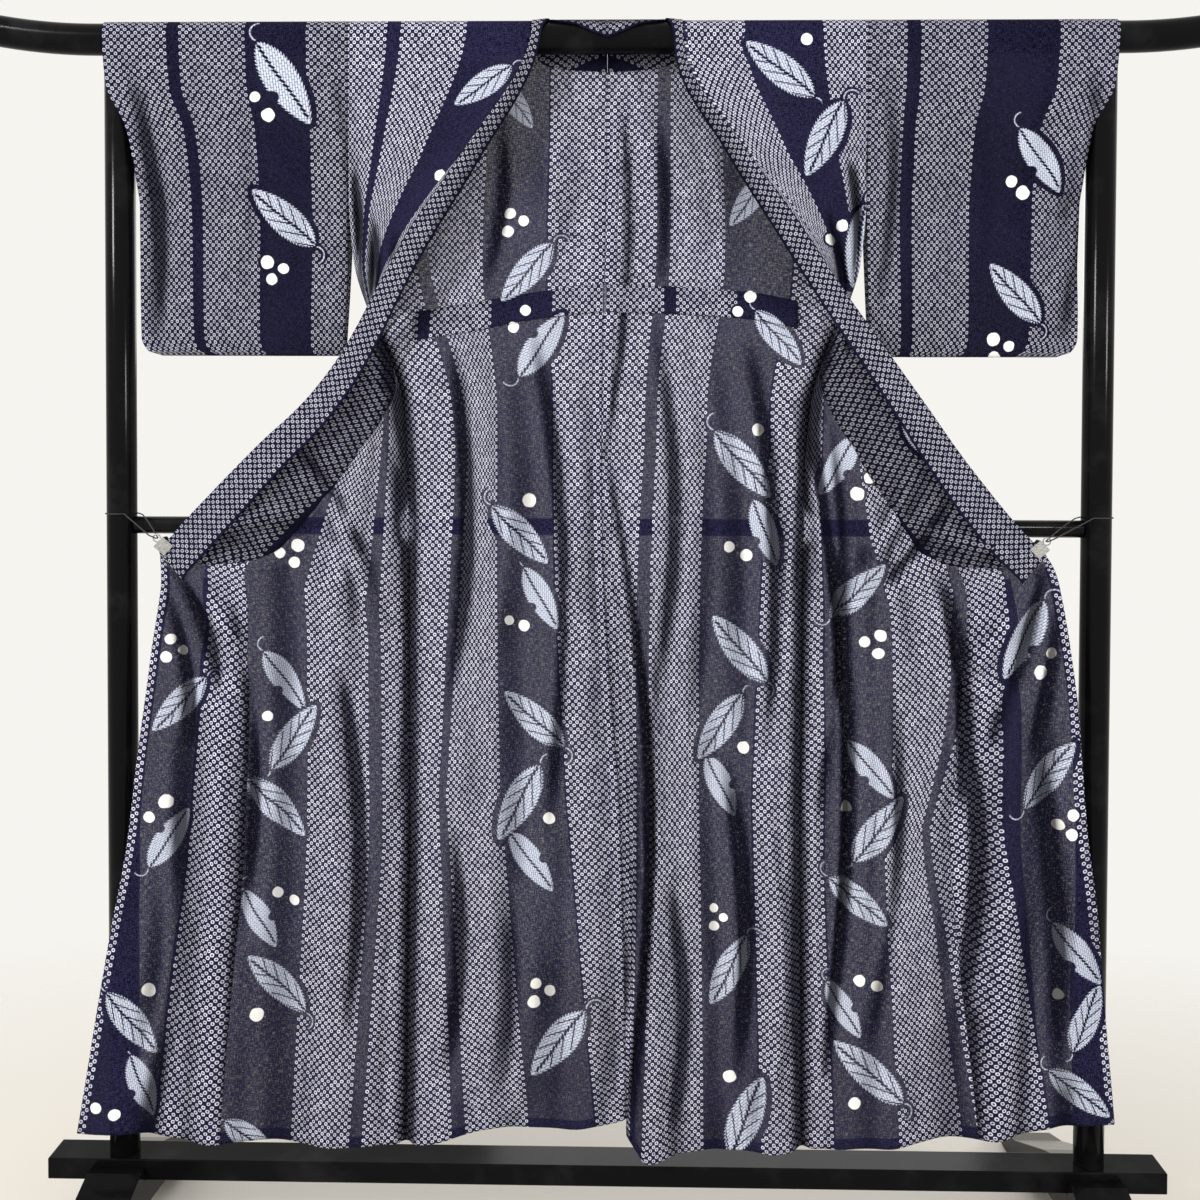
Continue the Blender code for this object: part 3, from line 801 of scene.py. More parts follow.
def back_points(side, down, share):
    """Points across a half back, with share 0 at its side edge and 1 at the neck or centre seam, creased."""
    start = side_edge(-down, back=True)[:, None]
    centre = through(CENTRE_BACK, down)
    centre[:, 0] *= SIGN[side]
    end = np.where((down < NECK_BACK)[:, None], edge_line(NECKLINE, -down), centre)[:, None]
    points = start + (end - start) * share[..., None]
    points[..., 1] += ridges(BACK_FOLDS[side], share, down[:, None])
    low = np.clip((down - DROP_FROM) / (LENGTH - DROP_FROM), 0, 1) ** 2
    points[..., 2] -= low[:, None] * by_side(HEM_DROP, side, share)
    return creased(mirrored(points, side), down, BACK_CREASES, 1.3, 4.0)


def loom_place(table, edges, down, share):
    """Place across the loom: straight runs between a panel's band edges, which drift along the cloth."""
    rows = np.array(table, float)
    columns = np.stack([np.interp(down, rows[:, 0], rows[:, c]) for c in range(1, rows.shape[1])], axis=1)
    marks = np.concatenate([np.zeros((len(down), 1)), columns[:, 1:-1], np.ones((len(down), 1))], axis=1)
    first, last = columns[:, :1], columns[:, -1:]
    values = np.concatenate([first, np.broadcast_to(edges, (len(down), len(edges))), last], axis=1)
    place = np.broadcast_to(first, share.shape).copy()
    for c in range(marks.shape[1] - 1):
        width = np.maximum(marks[:, c + 1 : c + 2] - marks[:, c : c + 1], 1e-4)
        part = np.clip((share - marks[:, c : c + 1]) / width, 0, 1)
        place += part * (values[:, c + 1 : c + 2] - values[:, c : c + 1])
    return place


def cloth_map(across, along):
    """Cloth UV in metres: the place across the loom, and each row's way along the cloth."""
    return np.stack([across, np.broadcast_to(along[:, None] * MM, across.shape)], axis=-1)


def camera_axes():
    """The camera's right, up and ahead: turned to the left, dipped and rolled from looking along +Y."""
    turn, dip, roll = CAMERA_TURN, CAMERA_DIP, CAMERA_ROLL
    ahead = np.array((-math.sin(turn) * math.cos(dip), math.cos(turn) * math.cos(dip), -math.sin(dip)))
    right = np.cross(ahead, (0.0, 0.0, 1.0))
    right /= np.linalg.norm(right)
    up = np.cross(right, ahead)
    return right * math.cos(roll) + up * math.sin(roll), up * math.cos(roll) - right * math.sin(roll), ahead


def on_plane(across, down, depth):
    """x and z in mm where the sight line through a place in the photograph meets the plane y = depth."""
    right, up, ahead = camera_axes()
    across, down = np.asarray(across, float)[:, None], np.asarray(down, float)[:, None]
    sight = ahead + right * (across - PIXELS_ACROSS) / PIXELS_LENS + up * (PIXELS_DOWN - down) / PIXELS_LENS
    reach = (depth * MM - CAMERA_AT[1]) / sight[:, 1:2]
    return (np.array(CAMERA_AT) + sight * reach)[:, (0, 2)] / MM


def face_corners(grid):
    """The values at the four corners of each face between neighbouring points of a grid."""
    return np.stack([grid[:-1, :-1], grid[:-1, 1:], grid[1:, 1:], grid[1:, :-1]], axis=2)


def nearest_frame(corners, centres, axes, sizes, flatness):
    """Each face's corners in the frame of its nearest motif: along its axis and across, over its size."""
    middle = corners.mean(axis=2)[:, :, None, :] - centres
    along = (middle * axes).sum(axis=-1) / sizes
    across = (middle[..., 1] * axes[:, 0] - middle[..., 0] * axes[:, 1]) / sizes
    nearest = np.argmin(along**2 + (across * flatness) ** 2, axis=-1)
    offset = corners - centres[nearest][:, :, None, :]
    axis = axes[nearest][:, :, None, :]
    size = sizes[nearest][:, :, None]
    along = (offset * axis).sum(axis=-1) / size
    across = (offset[..., 1] * axis[..., 0] - offset[..., 0] * axis[..., 1]) / size
    return np.clip(np.stack([along, across], axis=-1), -FAR, FAR), nearest


def motif_frames(points, panel, drop=0.0):
    """Leaf and spot frames at the corners of a grid's faces. A bitten leaf's frame is moved 4 or 8 along."""
    corners = face_corners(points[..., (0, 2)])
    depth = MOTIF_DEPTH[panel.split("_")[0]]
    rows = np.array(LEAVES[panel], float)
    stem, tip = on_plane(rows[:, 0], rows[:, 1], depth), on_plane(rows[:, 2], rows[:, 3], depth)
    centres = (stem + tip) / 2 - (0, drop)
    half = np.linalg.norm(tip - stem, axis=1) / 2
    leaf, nearest = nearest_frame(corners, centres, (tip - stem) / (2 * half)[:, None], half, 2.3)
    bite = rows[nearest, 4]
    leaf[..., 0] += np.where(bite > 0, APART, np.where(bite < 0, 2 * APART, 0.0))[:, :, None]
    rows = np.array(SPOTS[panel], float)
    centres = on_plane(rows[:, 0], rows[:, 1], depth) - (0, drop)
    sizes = rows[:, 2] * (depth * MM - CAMERA_AT[1]) / PIXELS_LENS / MM
    upright = np.tile((1.0, 0.0), (len(rows), 1))
    spot = nearest_frame(corners, centres, upright, sizes, 1.0)[0]
    return leaf, spot


def steps_between(first, last, step):
    """Even steps from first to last, as near to the given step as a whole number of them comes."""
    return np.linspace(first, last, max(int(round(abs(last - first) / step)), 2) + 1)


def arc_length(path):
    """Way along each path from its first point. A path's points follow each other on the first axis."""
    steps = np.linalg.norm(np.diff(path, axis=0), axis=-1)
    return np.concatenate([0 * steps[:1], steps.cumsum(axis=0)])


def painted_fold_shade(points, reach=6):
    """How deep in a fold each point lies, 0 to 1, by its slope across and its depth behind the mean there.
    The shader darkens the cloth's colour by it as painted shade in the folds.
    """
    run = np.linalg.norm(np.gradient(points[..., (0, 2)], axis=1), axis=-1)
    slope = np.abs(np.gradient(points[..., 1], axis=1)) / np.maximum(run, 0.5)
    wide = np.pad(points[..., 1], ((0, 0), (reach + 1, reach)), mode="edge").cumsum(axis=1)
    mean = (wide[:, 2 * reach + 1 :] - wide[:, : -2 * reach - 1]) / (2 * reach + 1)
    sunk = (points[..., 1] - mean) / 4.0
    return np.clip(0.8 * np.maximum(slope - 0.10, 0) + np.clip(sunk, -0.2, 1), 0, 1)


def new_mesh(name, points, faces, flat=0):
    """A mesh of points in mm and the faces between them, all shaded smooth but the last few flat ones."""
    mesh = bpy.data.meshes.new(name)
    mesh.from_pydata((points.reshape(-1, 3) * MM).tolist(), [], faces)
    mesh.polygons.foreach_set("use_smooth", np.arange(len(faces)) < len(faces) - flat)
    mesh.update()
    return mesh


def grid_mesh(name, points, place, panels, closed=False):
    """Quads between neighbouring points of a grid in mm, with its cloth, leaf and spot maps and the painted
    shade of its folds.

    panels lists (panel of the motif charts, first row, end row, drop). closed joins last row to first.
    """
    index = np.arange(points[..., 0].size).reshape(points.shape[:2])
    looped = points
    if closed:
        index = np.concatenate([index, index[:1]])
        looped = np.concatenate([points, points[:1]])
        place = np.concatenate([place, place[:1] + np.array((0.0, place[-1, 0, 1] - place[-2, 0, 1]))])
    mesh = new_mesh(name, points, face_corners(index).reshape(-1, 4).tolist())
    cloth = face_corners(place)
    leaf, spot = np.full(cloth.shape, FAR), np.full(cloth.shape, FAR)
    for panel, first, end, drop in panels:
        last = min(end, len(cloth))
        leaf[first:last], spot[first:last] = motif_frames(looped[first : last + 1], panel, drop)
    for label, values in (("cloth", cloth), ("leaf", leaf), ("spot", spot)):
        mesh.uv_layers.new(name=label).data.foreach_set("uv", values.astype(np.float32).ravel())
    # The fold attribute carries painted shade: the shader darkens the colour in the folds by it.
    folds = mesh.attributes.new("fold", "FLOAT", "POINT").data
    folds.foreach_set("value", painted_fold_shade(points).astype(np.float32).ravel())
    return mesh


def shown(name, mesh, material):
    """A new piece at the origin that rides on the one body, with its material."""
    piece = bpy.data.objects.new(name, mesh)
    mesh.materials.append(material)
    bpy.context.scene.collection.objects.link(piece)
    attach(piece, "root")
    return piece


def cloth_piece(name, points, place, material, panels=(), thickness=None, closed=False):
    """A cloth shell: the grid's surface with a thin wall centred on it."""
    if isinstance(panels, str):
        panels = ((panels, 0, len(points), 0.0),)
    piece = shown(name, grid_mesh(name, points, place, panels, closed), material)
    wall = piece.modifiers.new("Wall", "SOLIDIFY")
    wall.thickness = thickness or bpy.context.scene.yukata_sizes.cloth_thickness
    wall.offset = 0.0
    wall.use_even_offset = False
    return piece


class Value:
    """A socket of a material's tree. Sums and products of values add Math nodes."""

    def __init__(self, shader, socket):
        self.shader = shader
        self.socket = socket

    def math(self, operation, *others):
        values = dict(enumerate((self, *others)))
        return self.shader.node("ShaderNodeMath", {"operation": operation}, values)[0]

    def __add__(self, other):
        return self.math("ADD", other)

    __radd__ = __add__

    def __sub__(self, other):
        return self.math("SUBTRACT", other)

    def __rsub__(self, other):
        return self.shader.node("ShaderNodeMath", {"operation": "SUBTRACT"}, {0: other, 1: self})[0]

    def __mul__(self, other):
        return self.math("MULTIPLY", other)

    __rmul__ = __mul__

    def __truediv__(self, other):
        return self.math("DIVIDE", other)

    def floor(self):
        return self.math("FLOOR")

    def fraction(self):
        return self.math("FRACT")

    def size(self):
        return self.math("ABSOLUTE")

    def sine(self):
        return self.math("SINE")

    def power(self, exponent):
        return self.math("POWER", exponent)

    def most(self, other):
        return self.math("MINIMUM", other)

    def least(self, other):
        return self.math("MAXIMUM", other)

    def above(self, edge, soft=1e-5):
        """0 below the edge, 1 above it, with a straight ramp of this width between."""
        if isinstance(edge, Value):
            return (self - edge).above(0.0, soft)
        values = {0: self, 1: 1 / soft, 2: 0.5 - edge / soft}
        return self.shader.node("ShaderNodeMath", {"operation": "MULTIPLY_ADD", "use_clamp": True}, values)[0]


class Shader:
    """A material with a Principled shader, and one way to add any other node."""

    def __init__(self, name):
        self.material = bpy.data.materials.new(name)
        self.material.use_nodes = True
        self.tree = self.material.node_tree
        self.surface = self.tree.nodes["Principled BSDF"]

    def node(self, kind, settings=None, values=None):
        """Adds a node with its settings and the values or links of its sockets, and gives its outputs."""
        made = self.tree.nodes.new(kind)
        for key, setting in (settings or {}).items():
            setattr(made, key, setting)
        for key, value in (values or {}).items():
            self.feed(made.inputs[key], value)
        return [Value(self, output) for output in made.outputs]

    def feed(self, socket, value):
        if isinstance(value, Value):
            self.tree.links.new(value.socket, socket)
        else:
            socket.default_value = value

    def set(self, **values):
        for key, value in values.items():
            self.feed(self.surface.inputs[key.replace("_", " ").title()], value)

    def mix(self, factor, first, second):
        settings = {"data_type": "RGBA", "blend_type": "MIX"}
        outputs = self.node("ShaderNodeMix", settings, {0: factor, 6: colour(first), 7: colour(second)})
        return outputs[2]

    def vector(self, x, y, z=0.0):
        return self.node("ShaderNodeCombineXYZ", None, {0: x, 1: y, 2: z})[0]

    def noise(self, at, scale, detail=2.0, roughness=0.5, dimensions="3D"):
        values = {"Vector": at, "Scale": scale, "Detail": detail, "Roughness": roughness}
        return self.node("ShaderNodeTexNoise", {"noise_dimensions": dimensions}, values)[0]

    def cloth_noise(self, u, v, across, along, seed):
        """Noise over the cloth, with so many waves a metre across and along it."""
        return self.noise(self.vector(u * across + seed * 7.3, v * along), 1.0, 1.0, dimensions="2D")

    def chance(self, at):
        """Four chances from 0 to 1 that are steady over each whole-numbered place."""
        outputs = self.node("ShaderNodeTexWhiteNoise", {"noise_dimensions": "3D"}, {"Vector": at})
        parts = self.node("ShaderNodeSeparateColor", None, {0: outputs[1]})
        return [outputs[0], *parts[:3]]

    def bump(self, height, distance, strength):
        values = {"Strength": strength, "Distance": distance, "Height": height}
        self.set(normal=self.node("ShaderNodeBump", None, values)[0])


def colour(value):
    return value if isinstance(value, Value) else (*value, 1.0)


def both(first, second):
    """The part where two masks meet: their product."""
    return first * second


def either(first, second):
    """The part that either of two masks covers: the greater of them."""
    return first.least(second)


def ring_lattice(shader, u, v):
    """Tied dots: small squarish rings on staggered columns, only in the dotted bands.

    The puckers that the ties leave swell with the product of a sine across the columns and one along them,
    which is at its most in the middle of each ring.
    """
    cell, pitch = 0.00475, 0.0094
    second = u.above(0.127)
    third = u.above(0.270)
    start = second * BAND_EDGES[1] + third * (BAND_EDGES[3] - BAND_EDGES[1])
    end = second * (BAND_EDGES[2] - BAND_EDGES[0]) + third * (LOOM - BAND_EDGES[2]) + BAND_EDGES[0]
    column = ((u - start) / cell).floor()
    centre_u = start + (column + 0.5) * cell
    stagger = (column * 0.5).fraction()
    rings, discs = None, None
    for side in (0.0, 1.0):
        near = column + side * ((u - centre_u).above(0.0) * 2.0 - 1.0)
        middle_u = start + (near + 0.5) * cell
        shift = (near * 0.5).fraction()
        row = (v / pitch + shift).floor()
        middle_v = (row + 0.5 - shift) * pitch
        size, shift_u, shift_v, bright = shader.chance(shader.vector(near + start * 1000.0, row, 0.5))
        across = (u - middle_u - (shift_u - 0.5) * 0.0008).size()
        along = (v - middle_v - (shift_v - 0.5) * 0.0008).size()
        radius = (across.power(2.6) + along.power(2.6)).power(1 / 2.6)
        disc = 1.0 - (radius - size * 0.0004).above(0.0020, 0.0005)
        hole = 1.0 - radius.above(0.0012, 0.0005)
        disc = both(disc, both(middle_u.above(start), 1.0 - middle_u.above(end)))
        ring = disc * (1.0 - hole * 0.94) * (bright * 0.25 + 0.75)
        rings = ring if rings is None else either(rings, ring)
        discs = disc if discs is None else either(discs, disc)
    dotted = both(u.above(start), 1.0 - u.above(end))
    swell = ((u - start) * (math.pi / cell)).sine() * (v * (2 * math.pi / pitch) + math.pi * 1.5).sine()
    return rings, discs, dotted, both(swell, dotted)


def leaf_shape(shader):
    """One leaf in its own frame, where p runs from -1 at the stem to 1 at the tip and q runs across.

    Its half width falls to nothing at both ends, its edge has saw teeth, and it is filled with rows of short
    dashes. A whole leaf has a dark vein along its middle and slanting side veins. A bitten one has only the
    vein along its middle, and a round bite out of one edge. A thin hooked stem and a bare halo go with it.
    """
    uv = shader.node("ShaderNodeUVMap", {"uv_map": "leaf"})[0]
    moved, q, _ = shader.node("ShaderNodeSeparateXYZ", None, {0: uv})
    kind = (moved / APART + 0.5).floor()
    p = moved - kind * APART
    bitten = kind.above(0.5)
    side = (1.5 - kind).above(0.0) * 2.0 - 1.0
    hump = (1.0 - p * p).least(0.0).power(0.72)
    width = hump * (0.37 - p * 0.07)
    teeth = ((p + q.size() * 0.5) / 0.085).fraction() * 0.055
    inside = (width - teeth - q.size()).above(0.0, 0.012)
    zigzag = ((p / 0.12).fraction() - 0.5) * 0.05
    vein = 1.0 - (q - (p * 2.6).sine() * 0.03 - zigzag).size().above(0.030, 0.01)
    vein = both(vein, both(p.above(-0.95, 0.05), 1.0 - p.above(0.86, 0.05)))
    lean = p - q.size() * 1.75 + q.above(0.0) * 0.19 + zigzag * 1.2
    slant = (lean / 0.40).fraction().above(0.84, 0.03)
    slant = both(slant, 1.0 - (q.size() / (width + 0.01)).above(0.80, 0.05))
    slant = both(slant, both(1.0 - bitten, 1.0 - p.above(0.7)))
    bite_p, bite_q = p - 0.10, q * side - width
    bite = 1.0 - (bite_p * bite_p + bite_q * bite_q * 0.8).power(0.5).above(0.13, 0.02)
    dark = either(either(vein, slant), both(bite, bitten))
    stem_p, stem_q = p + 1.14, q - 0.16
    arc = ((stem_p * stem_p + stem_q * stem_q).power(0.5) - 0.20).size()
    reach = both(1.0 - q.above(0.24), 1.0 - p.above(-1.04))
    stem = both(1.0 - arc.above(0.017, 0.014), reach)
    rows = ((p * 0.5 + q) / 0.062).fraction()
    dashes = ((p - q * 0.5) / 0.13 + ((p * 0.5 + q) / 0.062).floor() * 0.5).fraction()
    pale = (rows - 0.5).size().above(0.36, 0.2) * 0.6 + (dashes - 0.5).size().above(0.40, 0.12) * 0.45
    leaf = either(both(inside, 1.0 - dark), stem * 0.9)
    halo = both(1.0 - (q.size() - width).above(0.12, 0.01), 1.0 - p.size().above(1.08))
    halo = either(halo, both(1.0 - arc.above(0.075, 0.01), reach))
    return leaf, 1.0 - pale, halo


def spot_shape(shader, wander):
    """A round spot in its own frame, a little out of true."""
    uv = shader.node("ShaderNodeUVMap", {"uv_map": "spot"})[0]
    a, b, _ = shader.node("ShaderNodeSeparateXYZ", None, {0: uv})
    away = (a * a + b * b).power(0.5) + wander * 0.28
    return 1.0 - away.above(0.95, 0.1), 1.0 - away.above(1.35, 0.1)


def cloth_shader(name, seed, sheer, painted_shade=1.0):
    """Navy cotton with tied dots, leaves and spots, slubs in the weave and a little puckering. Its navy and
    dots are multiplied by one painted shade factor for a whole piece, and darkened by painted shade in its
    folds.
    """
    colours = bpy.context.scene.yukata_colours
    shader = Shader(name)
    uv = shader.node("ShaderNodeUVMap", {"uv_map": "cloth"})[0]
    u, v, _ = shader.node("ShaderNodeSeparateXYZ", None, {0: uv})
    wander = shader.cloth_noise(u, v, 90.0, 90.0, seed) - 0.5
    rings, discs, dotted, pucker = ring_lattice(shader, u + wander * 0.0012, v + wander * 0.0012)
    leaf, pale, halo = leaf_shape(shader)
    spots, spot_halo = spot_shape(shader, wander)
    clear = 1.0 - either(halo, spot_halo)
    warp = shader.cloth_noise(u, v, 900.0, 150.0, seed)
    weft = shader.cloth_noise(u, v, 150.0, 900.0, seed + 3.0)
    # Fold value from the mesh: it darkens the colour as painted shade in the folds, and thickens the alpha
    # there.
    fold = shader.node("ShaderNodeAttribute", {"attribute_name": "fold"})[2]
    slub = warp * 0.5 + weft * 0.5
    dye = shader.cloth_noise(u, v, 9.0, 9.0, seed)
    ground = (slub - 0.5) * 3.6 + (dye - 0.5) * 0.5 + 0.5
    # Painted shade: the navy and the dots are darkened by one factor for the whole piece.
    deep = [part * 0.45 * painted_shade for part in colours.navy]
    lifted = [part * 1.75 * painted_shade for part in colours.navy]
    base = shader.mix(ground, deep, lifted)
    base = shader.mix(both(rings, clear), base, [part * painted_shade for part in colours.dots])
    thread = pale * (slub * 0.5 + 0.75)
    base = shader.mix(both(leaf, thread.most(1.0)), base, colours.leaves)
    base = shader.mix(spots, base, colours.spots)
    # Painted shade in the folds: the colour is mixed towards dark navy by the fold value.
    base = shader.mix(fold * 0.9, base, [part * 0.2 for part in colours.navy])
    shader.set(base_color=base, roughness=0.95)
    shader.surface.inputs["Specular IOR Level"].default_value = 0.03
    if sheer < 1.0:
        denser = either(both(dotted, clear) * 0.15, either(leaf, spots) * 0.2)
        shown_part = sheer + (slub - 0.5) * 1.2 + either(denser, both(discs, clear) * 0.2) + fold * 0.2
        shader.set(alpha=shown_part.least(0.0).most(1.0))
    shader.bump(pucker * 0.3 + slub * 0.35, 0.0005, 0.5)
    shader.material.use_transparent_shadow = False
    return shader.material


def lacquer_shader(name):
    """Black lacquer with a faint orange-peel ripple, dust in places and worn, slightly duller patches."""
    shader = Shader(name)
    at = shader.node("ShaderNodeTexCoord")[3]
    peel = shader.noise(at, 260.0, 2.0)
    dust = shader.noise(at, 14.0, 4.0, 0.6)
    black, dusty = bpy.context.scene.yukata_colours.lacquer, (0.02, 0.02, 0.021)
    base = shader.mix(dust.above(0.62, 0.2) * 0.4, black, dusty)
    shader.set(base_color=base, roughness=dust * 0.12 + 0.07)
    shader.surface.inputs["Specular IOR Level"].default_value = 0.06
    shader.bump(peel, 0.0002, 0.12)
    return shader.material


def steel_shader(name):
    """Bright plated steel with fine drawn scratches in its roughness and bump, whose lines also darken its
    colour as painted reflection.
    """
    shader = Shader(name)
    at = shader.node("ShaderNodeTexCoord")[3]
    stretched = shader.node("ShaderNodeMapping", None, {"Vector": at, "Scale": (300.0, 300.0, 4000.0)})[0]
    lines = shader.noise(stretched, 1.0, 3.0)
    # Partly painted reflection: the dark lines in the colour stand in for dark reflections; the same lines
    # roughen and bump the steel as scratches.
    base = shader.mix(lines.above(0.5, 0.3), (0.16, 0.16, 0.16), (0.86, 0.86, 0.84))
    shader.set(base_color=base, metallic=1.0, roughness=lines * 0.16 + 0.14)
    shader.bump(lines, 0.0001, 0.2)
    return shader.material


def cord_shader(name):
    """Matt black cord with a fine twist."""
    shader = Shader(name)
    at = shader.node("ShaderNodeTexCoord")[3]
    settings = {"bands_direction": "DIAGONAL"}
    twist = shader.node("ShaderNodeTexWave", settings, {"Vector": at, "Scale": 900.0})[1]
    shader.set(base_color=shader.mix(twist, (0.008, 0.008, 0.010), (0.04, 0.04, 0.045)), roughness=0.85)
    shader.bump(twist, 0.0002, 0.5)
    return shader.material


def body_rows():
    """Way down the cloth from the front hem over the rail to the back hem, closer together on the rail."""
    step = bpy.context.scene.yukata_sizes.cloth_step / MM
    front = steps_between(LENGTH, WRAP, step)[:-1]
    turn = steps_between(WRAP, -WRAP, 3.5)
    back = steps_between(-WRAP, -LENGTH, step)[1:]
    return np.concatenate([front, turn, back])


def body_points(side, down, share):
    """One length of cloth: the front's points where down is plus, the back's where it is minus."""
    ahead = np.maximum(down, 0)
    seam = through(OVERLAP_SEAM[side], np.maximum(ahead, OVERLAP_TOP))
    front = front_points(side, ahead, share * seam)
    back = back_points(side, np.maximum(-down, 0), share)
    return np.where((down > 0)[:, None, None], front, back)


def body_place(side, down, share):
    """Cloth UV of a body length. Beside the neck the back's bands keep their distance from the centre."""
    edges = BAND_EDGES[::-1] if side == "left" else BAND_EDGES
    front = loom_place(FRONT_BANDS[side], edges, np.maximum(down, 0), share)
    behind = np.maximum(-down, 0)
    reach = np.where(behind < NECK_BACK, edge_line(NECKLINE, -behind)[:, 0], 0.0)[:, None] / SIDE_EDGE[0][1]
    back = loom_place(BACK_BANDS[side], edges, behind, share * (1 - reach))
    near = np.clip((down + 60) / 60, 0, 1)[:, None]
    return cloth_map(back + (front - back) * near, down)


def all_shares(rows, count, first=0.0, last=1.0):
    """The same even shares across for every row."""
    return np.broadcast_to(np.linspace(first, last, count)[None, :], (rows, count))


class YUKATA_OT_body(bpy.types.Operator):
    """Make both body lengths, each from its front hem over the rail to its back hem"""

    bl_idname = "yukata.body"
    bl_label = "Body"

    def execute(self, context):
        down = body_rows()
        width = 300 / (context.scene.yukata_sizes.cloth_step / MM)
        share = all_shares(len(down), int(width) + 1)
        half = int(np.count_nonzero(down > 0))
        for side, seed in BODY_SEEDS.items():
            material = cloth_shader(f"body_cotton_{side}", seed, SHEER)
            piece = cloth_piece(
                f"body_{side}",
                body_points(side, down, share),
                body_place(side, down, share),
                material,
                ((f"front_{side}", 0, half, 0.0), (f"back_{side}", half, len(down), 0.0)),
            )
            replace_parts(piece, f"front_{side}", f"back_{side}")
        return {"FINISHED"}


class YUKATA_OT_overlaps(bpy.types.Operator):
    """Make the half-width overlap panels at both front edges"""

    bl_idname = "yukata.overlaps"
    bl_label = "Overlaps"

    def execute(self, context):
        step = context.scene.yukata_sizes.cloth_step / MM
        down = steps_between(OVERLAP_TOP + 6, LENGTH, step)
        part = all_shares(len(down), OVERLAP_COLUMNS)
        for side, seed in (("left", 8.1), ("right", 3.9)):
            seam = through(OVERLAP_SEAM[side], down)
            points = front_points(side, down, seam + part * (1 - seam))
            place = cloth_map(loom_place(OVERLAP_BANDS[side], BAND_EDGES[:2], down, part), down)
            material = cloth_shader(f"overlap_cotton_{side}", seed, SHEER)
            piece = cloth_piece(f"overlap_cloth_{side}", points, place, material, f"overlap_{side}")
            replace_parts(piece, f"overlap_{side}")
        return {"FINISHED"}


def collar_seam(side, down):
    """Line that the collar is sewn to: the neckline behind the shoulder, the front's outer line before it."""
    behind = edge_line(NECKLINE, down)
    before = front_line(side, down)
    line = np.where((down < 0)[:, None], behind, before)
    blend = np.clip((down + WRAP) / (2 * WRAP), 0, 1)
    wrapped_x = behind[:, 0] * (1 - blend) + before[:, 0] * blend
    line[:, 0] = np.where(np.abs(down) <= WRAP, wrapped_x, line[:, 0])
    return line


def collar_points(side, down, share):
    """The collar strip: a parabola through its seam, its middle and its free edge, kept off the rail."""
    seam = collar_seam(side, down) + through(COLLAR_LIFT, down)
    offsets = through(COLLAR_SECTION, down) * np.array((-1, 1, 1, -1, 1, 1))
    middle, edge = seam + offsets[:, :3], seam + offsets[:, 3:]
    s = share[None, :, None]
    points = seam[:, None] * (1 - s) * (1 - 2 * s) + middle[:, None] * 4 * s * (1 - s)
    points = points + edge[:, None] * s * (2 * s - 1)
    from_rail = np.hypot(points[..., 1], points[..., 2] - RAIL_Z)
    pushed = np.maximum(1, COLLAR_RADIUS / from_rail)
    points[..., 1] *= pushed
    points[..., 2] = RAIL_Z + (points[..., 2] - RAIL_Z) * pushed
    return mirrored(points, side)


class YUKATA_OT_collar(bpy.types.Operator):
    """Make the folded collar strip, in two halves that meet behind the neck"""

    bl_idname = "yukata.collar"
    bl_label = "Collar"

    def execute(self, context):
        down = np.concatenate([steps_between(-NECK_BACK, WRAP, 2.5), steps_between(WRAP + 5, CLIP_AT, 5.5)])
        share = np.linspace(0, 1, 15)
        for side, seed in (("left", 1.7), ("right", 6.4)):
            points = collar_points(side, down, share)
            points[0, :, 0] = SIGN[side] * SEAT / 2
            fall = np.clip((down - 60) / 80, 0, 1)[:, None]
            ripple = np.sin(down / 21 + 2 * np.sin(down / 67)) * 0.9 + 0.6 * np.sin(down / 9.5)
            points[..., 1] -= fall * np.abs(ripple)[:, None] * np.sin(np.pi * share)[None, :] * 1.1
            from_seam = arc_length(points.swapaxes(0, 1)).T
            across = COLLAR_EDGE_PLACE + (from_seam[:, -1:] - from_seam) * MM
            place = cloth_map(across, arc_length(points[:, -1]))
            # The collar's colours are darkened to 0.62 as painted shade.
            material = cloth_shader(f"collar_cotton_{side}", seed, 1.0, 0.62)
            name = f"collar_strip_{side}"
            piece = cloth_piece(name, points, place, material, (), COLLAR_WALL)
            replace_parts(piece, f"collar_{side}")
        return {"FINISHED"}


def sleeve_rows(step):
    """Points round a sleeve in section: z, signed layer distance, and the way from its bottom seam."""
    z = steps_between(SLEEVE_FOOT, 1630, step)
    distance = through(SLEEVE_LAYER, z)[:, 0]
    turn = np.linspace(-math.pi / 2, math.pi / 2, 21)
    front = np.stack([-distance, z], axis=1)
    top = np.stack([WRAP_RADIUS * np.sin(turn), RAIL_Z + WRAP_RADIUS * np.cos(turn)], axis=1)
    back = np.stack([distance, z], axis=1)[::-1]
    return np.concatenate([front, top, back])


